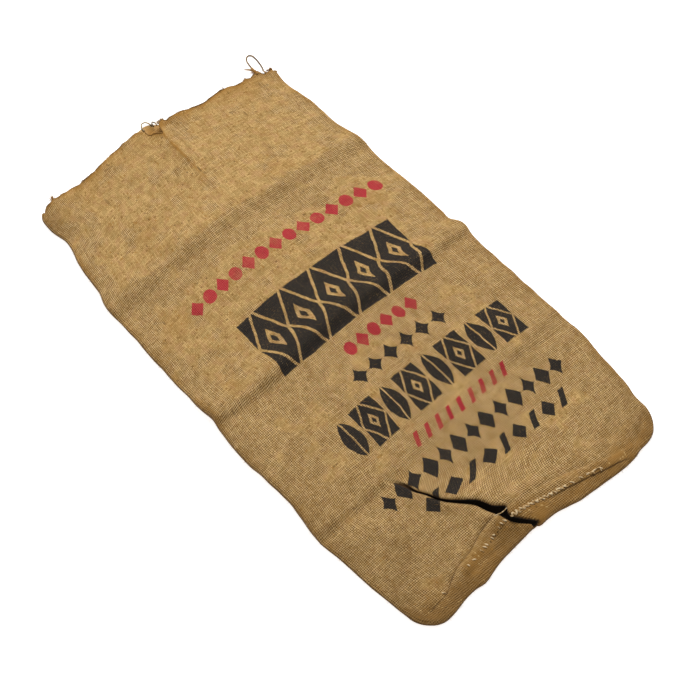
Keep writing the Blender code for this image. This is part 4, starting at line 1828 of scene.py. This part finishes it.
def mark_sheet(mesh):
    """Stores for each point what the material reads: its age, its dust and painted shade, its place and how
    near the seam is.
    """
    places = np.empty(len(mesh.vertices) * 3)
    mesh.attributes["calm"].data.foreach_get("vector", places)
    x, y, facing = places.reshape(-1, 3).T * ((1 / MM,), (1 / MM,), (1,))
    front = np.clip(facing, 0, 1)
    at_mouth = bell(FRONT_MOUTH_Y(x) - notch(x) - y, CUT_EDGE_REACH) * (facing > 0.99)
    # painted shade where the folds turn down (full at their sides), with the dark of the frayed mouth edge
    fray_and_fold_shade = np.maximum(1 - np.abs(facing), at_mouth * (FRAY_DARK[0] + FRAY_DARK[1] * SPECKLE(x, y)))
    fade = (1 - sewn_here(x)) * OUT_OF_REACH
    below_tuck = (TUCK_Y(x) - y) / np.clip(TUCK_DEPTH(x) / FULL_TUCK, LEAST_TUCK, 1.0) + fade
    warm, dusty_and_shaded, opened = ageing(x, y)
    numbers = {"warmth": warm, "dust_and_shade": dusty_and_shaded, "opened": opened, "front": front, "rim": fray_and_fold_shade}
    # the pleat's painted shade, on the front layer only
    numbers["pleat_painted_shade"] = in_pleat(x, y) * front
    for name, values in numbers.items():
        give(mesh, name, "FLOAT", "value", values)
    none = np.zeros_like(x)
    for name, pair in {"plan": (x, y), "seam": (SEAM_Y(x) - y + fade, below_tuck)}.items():
        give(mesh, name, "FLOAT_VECTOR", "vector", np.stack((*pair, none), axis=1))


print(f"the pleat's shade is {in_pleat(PLEAT[5].x + 10, PLEAT[5].y):.2f} beside its groove")


# %% The bag as one sheet
def sack_sheet():
    """The bag's mesh, before it gets its wall."""
    bm = bmesh.new()
    names = ("flat", "calm", "outward", "start")
    flat, calm, outward, start = (bm.verts.layers.float_vector.new(name) for name in names)
    chain = front_layer(bm, flat, calm)
    chain, points = fold_under(bm, chain, flat, calm, outward, start)
    back_layer(bm, chain, points, flat, calm)
    mesh = mesh_of("hessian_bag", bm)
    mark_sheet(mesh)
    for name in ("calm", "outward", "start"):
        mesh.attributes.remove(mesh.attributes[name])
    return mesh


bag = new_object("hessian_bag", sack_sheet(), hessian_material)
wall = bag.modifiers.new("wall", "SOLIDIFY")
wall.thickness = CLOTH
wall.offset = 0.0
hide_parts("sack_cloth")
print("the bag's sheet has", len(bag.data.polygons), "faces")


# %% [markdown]
# ## The loop of yarn
# The route is ready, so the yarn itself is short: a curve with a round bevel and filled ends.

# %% Loop yarn
def loop_yarn():
    """The loose yarn as a bevelled curve."""
    curve = bpy.data.curves.new("mouth_loop_yarn", "CURVE")
    curve.dimensions = "3D"
    curve.bevel_depth = YARN_RADIUS
    curve.bevel_resolution = 3
    curve.use_fill_caps = True
    spline = curve.splines.new("POLY")
    spline.points.add(len(yarn_line) - 1)
    spline.points.foreach_set("co", np.column_stack((yarn_line, np.ones(len(yarn_line)))).ravel())
    return new_object("mouth_loop_yarn", curve, yarn_material)


yarn = loop_yarn()
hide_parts("mouth_yarn")
print("the loop is a cord of", len(yarn_line), "points")


# %% [markdown]
# ## Tubes along lines
# Stitches, tufts and fibres are all thin tubes. A ring of points is extruded along a line: at each step the
# new ring is moved by the change from one frame to the next. The frames are carried along the line without
# turning, so that the tube never twists.

# %% Tube
def carried_frames(line):
    """Axes that travel along a line without twisting: one matrix for each of its points."""
    places = [Vector(place) for place in line]
    runs = [(after - before).normalized() for before, after in zip(places, places[1:])]
    ways = [runs[0], *((a + b).normalized() for a, b in zip(runs, runs[1:])), runs[-1]]
    side = ways[0].orthogonal()
    frames = []
    for place, way in zip(places, ways):
        side = (side - way * side.dot(way)).normalized()
        axes = Matrix((side, way.cross(side), way)).transposed()
        frames.append(Matrix.Translation(place) @ axes.to_4x4())
    return frames


def tube(bm, line, radii, sides=6):
    """Adds a closed tube along a line, with its own radius at each point."""
    frames = [frame @ Matrix.Diagonal((r, r, 1, 1)) for frame, r in zip(carried_frames(line), radii)]
    ring = bmesh.ops.create_circle(bm, cap_ends=True, segments=sides, radius=1.0, matrix=frames[0])["verts"]
    edges = list(ring[0].link_faces[0].edges)
    for before, after in zip(frames, frames[1:]):
        edges, points = extrude_chain(bm, edges)
        bmesh.ops.transform(bm, matrix=after @ before.inverted(), verts=list(points))
    bmesh.ops.edgeloop_fill(bm, edges=edges)


def joined(name, bm, material):
    """Finishes a piece that is made of tubes."""
    return new_object(name, mesh_of(name, bm), material)


print("frames are carried along the loop at", len(carried_frames(yarn_line)), "points")


# %% [markdown]
# ## The seam's stitches
# The bottom is overcast with light twine: short slanting stitches that rise over the seam and dive back
# into the cloth, one every 6 mm or so, none quite like the next.

# %% Stitches
STITCH_RADIUS = 1.2 * MM
STITCH_SUNK = 0.6 * MM  # how deep a stitch starts in the cloth
STITCH_POINTS = 7
STITCH_SHIFTS, SECOND_SHIFTS = (-1.2, 1.2), (1.0, 3.0)  # off its even place: a stitch, and one that crosses
LEANS, ABOVES, BELOWS = (0.8, 5.6), (1.4, 4.6), (1.0, 3.4)  # aside, above and below the seam, least and most
ARCHES, GIRTHS = (0.7, 1.5), (0.65, 1.3)  # how high it stands, and its share of the radius
END_GIRTH, BELLY = 0.7, 0.5  # a stitch is thinner at its ends, and fuller in its middle by this much
IN_PLEAT_X = (-52.0, -14.0)  # here the pleat hides the seam
CROSSED_X = (-14.0, 72.0)  # here the stitches cross, like beads
SHARES = ((-240, 0.15), (-135, 0.35), (-118, 0.90), (72, 0.90), (80, 0.2), (175, 0.12))  # x, share left


def on_cloth(x, y, lift=0.0):
    """A place on the front layer's middle, in metres, for a place of the flat plan in millimetres."""
    return Vector(settle(np.array(x), np.array(y))) + Vector((0.0, 0.0, lift))


def stitch(bm, x, way, rng):
    """One stitch over the seam at this place, leaning one way or the other."""
    lean, above, below = way * rng.uniform(*LEANS), rng.uniform(*ABOVES), rng.uniform(*BELOWS)
    arch = rng.uniform(*ARCHES) * MM
    thick = STITCH_RADIUS * rng.uniform(*GIRTHS)
    line, radii = [], []
    for t in np.linspace(0.0, 1.0, STITCH_POINTS):
        here = x + lean * (t - 0.5)
        place_x, place_y = np.array(here), np.array(SEAM_Y(here) + above - (above + below) * t)
        lift = CLOTH / 2 - STITCH_SUNK + arch * math.sin(math.pi * t)
        line.append(Vector(settle(place_x, place_y)) + outwards_at(place_x, place_y) * lift)
        radii.append(thick * (END_GIRTH + BELLY * math.sin(math.pi * t)))
    tube(bm, line, radii)


print("about", round((SEAM[-1].x - SEAM[1].x) / STITCH_PITCH), "places for stitches")

# %% Slack twine
SLACK_TWINE = ((97, -487.5, 0.9), (103, -489.5, 1.6), (110, -490.5, 1.8), (118, -493, 1.6), (117, -498, 1.0))
TWINE_STEPS, TWINE_GIRTH = 14, 0.8
BRIDGE_X, BRIDGE_Y = (-62.0, 6.0), -446.0  # the seam's edge, stretched over the pleat
BRIDGE_STEPS, BRIDGE_GIRTH = 9, 0.65
BRIDGE_SAG = (0, 6.5, 0.4)  # down the sack and into the cloth, in its middle


def slack_twine(bm):
    """The seam's loose end, and the strand that is stretched over the pleat."""
    slack = [on_cloth(x, y, lift * MM) / MM for x, y, lift in SLACK_TWINE]
    tube(bm, smooth_route(slack, TWINE_STEPS), np.full(TWINE_STEPS, TWINE_GIRTH * STITCH_RADIUS))
    left, right = (on_cloth(x, BRIDGE_Y) for x in BRIDGE_X)
    sag = Vector(BRIDGE_SAG) * MM
    bridge = [left.lerp(right, t) - sag * 4 * t * (1 - t) for t in np.linspace(0, 1, BRIDGE_STEPS)]
    tube(bm, bridge, np.full(BRIDGE_STEPS, BRIDGE_GIRTH * STITCH_RADIUS))


def seam_stitches():
    """All the stitches and the loose twine, joined."""
    bm = bmesh.new()
    rng = np.random.default_rng(41)
    for x in np.arange(SEAM[1].x, SEAM[-1].x, STITCH_PITCH):
        share = np.interp(x, *zip(*SHARES))
        if not IN_PLEAT_X[0] < x < IN_PLEAT_X[1] and rng.random() < share:
            stitch(bm, x + rng.uniform(*STITCH_SHIFTS), 1, rng)
            if CROSSED_X[0] < x < CROSSED_X[1]:
                stitch(bm, x + rng.uniform(*SECOND_SHIFTS), -1, rng)
    slack_twine(bm)
    return joined("bottom_seam_stitches", bm, twine_material)


stitches = seam_stitches()
print("the stitches have", len(stitches.data.polygons), "faces")


# %% [markdown]
# ## Frayed ends at the mouth
# The mouth is cut and has frayed. Here and there a tuft, a curl or a whisker stands out of it. Each is a
# bunch of tapering tubes that start inside the cloth's edge and bend as they go.

# %% Tufts
class Tuft(NamedTuple):
    """A bunch of frayed fibres on the mouth's front edge."""

    x: float
    width: float
    count: int
    length: float
    lean: float  # degrees from +Y
    spread: float  # degrees between its outermost fibres
    radius: float


TUFTS = (
    Tuft(-217, 5, 18, 14, 8, 26, 0.7),
    Tuft(-152, 4, 5, 6, -10, 40, 0.45),
    Tuft(-96, 6, 4, 5, 20, 40, 0.4),
    Tuft(26, 14, 50, 7, 8, 50, 0.6),
    Tuft(100, 60, 10, 4, 0, 90, 0.35),
    Tuft(160, 4, 7, 10, 5, 22, 0.45),
    Tuft(205, 6, 7, 6, -30, 50, 0.45),
    Tuft(230, 9, 16, 12, 2, 16, 0.8),
    Tuft(250, 16, 14, 6, 10, 120, 0.75),
)


TUFT_ROOT = 2  # how far inside the cloth's edge a tuft starts
TUFT_SINKS = (0.0, 2.0)  # below the edge's height, least and most
ASIDE, SHARES_OF_LENGTH = (-0.5, 0.5), (0.55, 1.1)  # one fibre, measured by its tuft
TUFT_BENDS, TUFT_SAGS = (-1.1, 1.1), (0.0, 0.7)
TUFT_STEPS = 6
TIP = 0.35  # of the root's radius
LOWEST = 0.6 * MM  # nothing sinks into the floor


def bent_line(start, heading, length, bend, sag, steps):
    """A line that sets out in one direction, turns evenly and sinks."""
    places = [Vector(start)]
    for step in range(steps):
        turned = heading + bend * step / steps
        way = Vector((math.sin(turned), math.cos(turned), -sag * step / steps))
        places.append(places[-1] + way * length / steps)
        places[-1].z = max(places[-1].z, LOWEST)
    return places


def tuft_fibre(bm, row, rng):
    """One fibre of a tuft, with its own place, heading, length, bend and sag."""
    root = Vector(mouth_edge(row.x + rng.uniform(*ASIDE) * row.width))
    root.y -= (notch(row.x) + TUFT_ROOT) * MM
    root.z -= rng.uniform(*TUFT_SINKS) * MM
    heading = math.radians(row.lean + rng.uniform(*ASIDE) * row.spread)
    length = (row.length * rng.uniform(*SHARES_OF_LENGTH) + TUFT_ROOT) * MM
    bend, sag = rng.uniform(*TUFT_BENDS), rng.uniform(*TUFT_SAGS)
    line = bent_line(root, heading, length, bend, sag, TUFT_STEPS)
    tube(bm, line, row.radius * MM * np.linspace(1.0, TIP, TUFT_STEPS + 1), sides=5)


def mouth_tufts():
    """Every tuft on the mouth's front edge, joined."""
    bm = bmesh.new()
    rng = np.random.default_rng(51)
    for row in TUFTS:
        for _ in range(row.count):
            tuft_fibre(bm, row, rng)
    return joined("mouth_tufts", bm, fibre_material)


tufts = mouth_tufts()
print("the tufts have", len(tufts.data.polygons), "faces")


# %% [markdown]
# ## The gathered corner
# At the mouth's right corner the yarns have gathered into a stiff trunk, from which the loop springs, and
# beside it some have wound into knots. A trunk is a tube with a radius for each place. A knot is a tube
# too: its line is a trefoil, which winds round and through itself.

# %% Trunk
class Trunk(NamedTuple):
    """A thick gathered end at the corner of the mouth: places along it, and its radius at each."""

    places: tuple
    radii: tuple


TRUNKS = (
    Trunk(((230, 484, 8), (230.5, 491, 7), (231.5, 499, 5.5), (233.4, 508, 3.8)), (4.4, 3.5, 2.9, 2.2)),
    Trunk(((243.2, 486, 8.6), (242.8, 482, 9.4), (242, 477, 9.6)), (1.3, 1.4, 1.8)),
    Trunk(((232, 500, 5), (229, 505, 4.5), (225, 510, 4), (220.5, 514.5, 3.5)), (2.0, 1.7, 1.5, 0.9)),
    Trunk(((226, 484, 8), (228, 491, 6), (231, 498, 5)), (1.8, 1.6, 1.2)),
    Trunk(((236, 483, 8), (235.5, 490, 6), (234, 498, 4)), (1.7, 1.5, 1.0)),
)


TRUNK_STEPS = 14


def trunk(bm, row):
    """One gathered end."""
    shares = np.linspace(0, 1, TRUNK_STEPS)
    radii = np.interp(shares, np.linspace(0, 1, len(row.radii)), row.radii) * MM
    tube(bm, smooth_route(row.places, TRUNK_STEPS), radii, sides=8)


print(len(TRUNKS), "gathered ends")


# %% Knots
class Knot(NamedTuple):
    """A short end of yarn wound about itself."""

    x: float
    y: float
    z: float
    size: float
    turn: float


KNOTS = (
    Knot(255, 480, 7.5, 3.4, 0.3),
    Knot(259.5, 470, 7, 2.6, 1.4),
    Knot(249.5, 481, 8.5, 2.0, 2.2),
    Knot(206, 492.5, 8, 1.6, 0.8),
)
KNOT_STEPS = 26
KNOT_WOUND = 0.97  # of the closed trefoil: its ends stay apart
KNOT_DEPTH, KNOT_GIRTH = 1.6, 0.36
KNOT_AXIS = (0.4, 0.5, 1.0)


def knot_line(row):
    """A trefoil: one formula that winds a line three times round and through itself."""
    t = np.linspace(0.0, 2 * math.pi * KNOT_WOUND, KNOT_STEPS)
    trefoil = (np.sin(t) + 2 * np.sin(2 * t), np.cos(t) - 2 * np.cos(2 * t), -np.sin(3 * t) * KNOT_DEPTH)
    placed = Matrix.Translation((row.x, row.y, row.z)) @ Matrix.Rotation(row.turn, 4, KNOT_AXIS)
    return [placed @ Vector(place) * MM for place in np.stack(trefoil).T * row.size / 3]


def gathered_ends():
    """The trunk that carries the loop of yarn, and the knots at the corner."""
    bm = bmesh.new()
    for row in TRUNKS:
        trunk(bm, row)
    for row in KNOTS:
        tube(bm, knot_line(row), np.full(KNOT_STEPS, row.size * KNOT_GIRTH * MM), sides=5)
    return joined("corner_knots", bm, fibre_material)


knots = gathered_ends()
print("the trunk and knots have", len(knots.data.polygons), "faces")

# %% [markdown]
# ## Curls and the torn flap
# In the middle of the mouth the front layer is torn. Two ends of yarn stand up in curls behind the notch,
# and one thread still outlines the flap beside it. The curls stand free, so their places are given in
# space, while the thread lies on the cloth and gets its height from `settle`.

# %% Curls and flap thread
CURLS = (
    ((-3.5, 518, 2.5), (-2.5, 527, 3.2), (2, 533.5, 3.6), (8, 533.5, 3.4), (12.5, 529, 2.6), (14, 520, 2.0)),
    ((16, 516, 2.0), (17, 523, 2.8), (19.5, 525.5, 3.0), (22.5, 522, 2.4), (22.5, 515, 1.8)),
)
FLAP_RIM = ((-9, 505.5), (-8.4, 496.5), (-5, 491.5), (-1, 491.5), (5, 486.5), (11.5, 479.5))
CURL_RADIUS, THREAD_RADIUS = 1.35 * MM, 0.9 * MM
THREAD_LIFT = 1.0 * MM  # above the middle of the cloth
CURL_STEPS = 16


def mouth_curls():
    """Thin ends of yarn that stand up in curls at the middle of the mouth."""
    bm = bmesh.new()
    for places in CURLS:
        tube(bm, smooth_route(places, CURL_STEPS), np.full(CURL_STEPS, CURL_RADIUS))
    return joined("mouth_curls", bm, curl_material)


def flap_thread():
    """The thread that outlines the torn flap beside the notch."""
    bm = bmesh.new()
    rim = [on_cloth(x, y, THREAD_LIFT) / MM for x, y in FLAP_RIM]
    tube(bm, smooth_route(rim, CURL_STEPS), np.full(CURL_STEPS, THREAD_RADIUS))
    return joined("flap_thread", bm, fibre_material)


small_yarns = (mouth_curls(), flap_thread())
print("the curls and the thread have", [len(piece.data.polygons) for piece in small_yarns], "faces")

# %% [markdown]
# ## Fuzz
# Jute is hairy. One bent hair is modelled a few times, and copies are strewn over the cloth and along its
# edges, each turned and sized by a seeded random draw. A copy costs only its few dozen faces.

# %% Hairs
HAIR_MOULDS = 6
HAIR_POINTS = 5
HAIR_RADIUS = 0.13 * MM
MOULD_RADIUS, MOULD_TIP = 0.05, 0.02  # of a hair 1 m long, before it is scaled
BENDS = (-1.6, 1.6)
BOW, HOOK = 0.5, 0.22  # how much of its two bends a hair shows
HAIR_GIRTHS = (0.7, 1.5)  # share of HAIR_RADIUS


def hair_moulds(rng):
    """A few different bent hairs, 1 m long before they are scaled."""
    moulds = []
    for number in range(HAIR_MOULDS):
        bm = bmesh.new()
        bends = rng.uniform(*BENDS, 2)
        t = np.linspace(0.0, 1.0, HAIR_POINTS)
        line = np.stack((t, bends[0] * t * (1 - t) * BOW, bends[1] * t * t * HOOK), axis=1)
        tube(bm, line, np.linspace(MOULD_RADIUS, MOULD_TIP, HAIR_POINTS), sides=3)
        moulds.append(mesh_of(f"hair_{number}", bm))
    return moulds


def strew(bm, mould, matrix):
    """Adds one copy of a small mesh."""
    already = len(bm.verts)
    bm.from_mesh(mould)
    bm.verts.ensure_lookup_table()
    bmesh.ops.transform(bm, matrix=matrix, verts=bm.verts[already:])


def hair_matrix(place, heading, tilt, length, rng):
    """Puts a hair at a place, along a heading on the plan, tilted up and rolled about itself."""
    turned = Matrix.Rotation(heading, 4, "Z") @ Matrix.Rotation(-tilt, 4, "Y")
    rolled = turned @ Matrix.Rotation(rng.uniform(0, 2 * math.pi), 4, "X")
    girth = HAIR_RADIUS * rng.uniform(*HAIR_GIRTHS) / MOULD_RADIUS
    return Matrix.Translation(place) @ rolled @ Matrix.Diagonal((length, girth, girth, 1))


print(HAIR_MOULDS, "kinds of hairs")

# %% Fuzz on the edges and the face
EDGE_HAIRS, FACE_HAIRS = 900, 700
EDGES = ("left", "right", "mouth", "mouth", "bottom")  # the cut mouth has twice as many hairs
WAY_OUT = {"left": math.pi, "right": 0.0, "mouth": math.pi / 2, "bottom": -math.pi / 2}
ON_FOLD = 0.9 * FOLD_BULGE
EDGE_TILTS, EDGE_LENGTHS = (-0.3, 0.5), (2.0, 6.5)
FACE_TILTS, FACE_LENGTHS = (0.0, 0.5), (3.0, 9.0)
STRAYING = 0.6  # radians by which a hair's heading strays from the way out
ALONG_EDGE, OVER_FACE = (0.02, 0.98), (0.03, 0.97)  # shares of an edge, and of the width and the length
UP_FOLD = (0.45, 0.95)  # share of the front layer's height


def edge_root(rng):
    """Where a hair of the edges grows, and the way out of the sack from there."""
    side = rng.choice(EDGES)
    share = np.array(rng.uniform(*ALONG_EDGE))
    x, y = side_point(side, share) if side in ("left", "right") else end_point(side, share)
    if side == "mouth":
        return Vector(settle(x, y - notch(x))), WAY_OUT[side]
    out = Vector((math.cos(WAY_OUT[side]), math.sin(WAY_OUT[side]), 0.0)) * ON_FOLD
    place = Vector(settle(x, y)) + out
    place.z *= rng.uniform(*UP_FOLD)
    return place, WAY_OUT[side]


def face_root(rng):
    """Where a hair of the front layer grows."""
    x, y = plan(np.array(rng.uniform(*OVER_FACE)), np.array(rng.uniform(*OVER_FACE)))
    return Vector(settle(x, y)) + outwards_at(x, y) * CLOTH / 2


def fuzz():
    """Hairs along the folds and the mouth, and on the face of the cloth."""
    bm = bmesh.new()
    rng = np.random.default_rng(61)
    moulds = hair_moulds(rng)
    for _ in range(EDGE_HAIRS):
        place, way_out = edge_root(rng)
        tilt, length = rng.uniform(*EDGE_TILTS), rng.uniform(*EDGE_LENGTHS) * MM
        matrix = hair_matrix(place, way_out + rng.normal(0, STRAYING), tilt, length, rng)
        strew(bm, moulds[rng.integers(HAIR_MOULDS)], matrix)
    for _ in range(FACE_HAIRS):
        place = face_root(rng)
        tilt, length = rng.uniform(*FACE_TILTS), rng.uniform(*FACE_LENGTHS) * MM
        matrix = hair_matrix(place, rng.uniform(0, 2 * math.pi), tilt, length, rng)
        strew(bm, moulds[rng.integers(HAIR_MOULDS)], matrix)
    for mould in moulds:
        bpy.data.meshes.remove(mould)
    return joined("cloth_fuzz", bm, fibre_material)


hairs = fuzz()
print("the fuzz has", len(hairs.data.polygons), "faces")

# %% [markdown]
# ## Floor and light
# The sack lies on a plain pale floor in a soft studio. A broad lamp beyond the mouth rakes over the cloth,
# so that every fold shows, and the white surroundings fill the shade.

# %% Stage
FLOOR_SIDE = 80.0  # metres: so wide that no low view looks past it
FLOOR_COLOUR, FLOOR_GLOW = (0.93, 0.93, 0.93, 1), 0.7
WHITE = (1, 1, 1, 1)
SKY = 0.45  # strength of the white surroundings
LAMP_PLACE, LAMP_TARGET = (2.4, 3.2, 3.84), (0.0, 0.1, 0.0)
LAMP_SIZE, LAMP_WATTS = 2.1, 271


def pale_floor():
    """A plain floor under the sack, white as paper."""
    bm = bmesh.new()
    bmesh.ops.create_grid(bm, x_segments=1, y_segments=1, size=FLOOR_SIDE / 2)
    mesh = bpy.data.meshes.new("floor")
    bm.to_mesh(mesh)
    bm.free()
    paint = Paint("pale_floor", roughness=0.9)
    paint.shader.inputs["Base Color"].default_value = FLOOR_COLOUR
    paint.shader.inputs["Emission Color"].default_value = WHITE
    paint.shader.inputs["Emission Strength"].default_value = FLOOR_GLOW
    mesh.materials.append(paint.material)
    floor = bpy.data.objects.new("floor", mesh)
    bpy.context.scene.collection.objects.link(floor)
    return floor


def soft_lamp(name, place, target, size, watts):
    """A square lamp that faces a target."""
    lamp = bpy.data.lights.new(name, "AREA")
    lamp.size = size
    lamp.energy = watts
    holder = bpy.data.objects.new(name, lamp)
    holder.location = place
    holder.rotation_mode = "QUATERNION"
    holder.rotation_quaternion = (Vector(target) - Vector(place)).to_track_quat("-Z", "Y")
    bpy.context.scene.collection.objects.link(holder)


def white_surroundings():
    """An even white sky, which fills the shade."""
    world = bpy.data.worlds.new("studio")
    world.use_nodes = True
    background = world.node_tree.nodes["Background"].inputs
    background["Color"].default_value = WHITE
    background["Strength"].default_value = SKY
    bpy.context.scene.world = world


pale_floor()
soft_lamp("key_lamp", LAMP_PLACE, LAMP_TARGET, LAMP_SIZE, LAMP_WATTS)
white_surroundings()
print("the studio is lit")
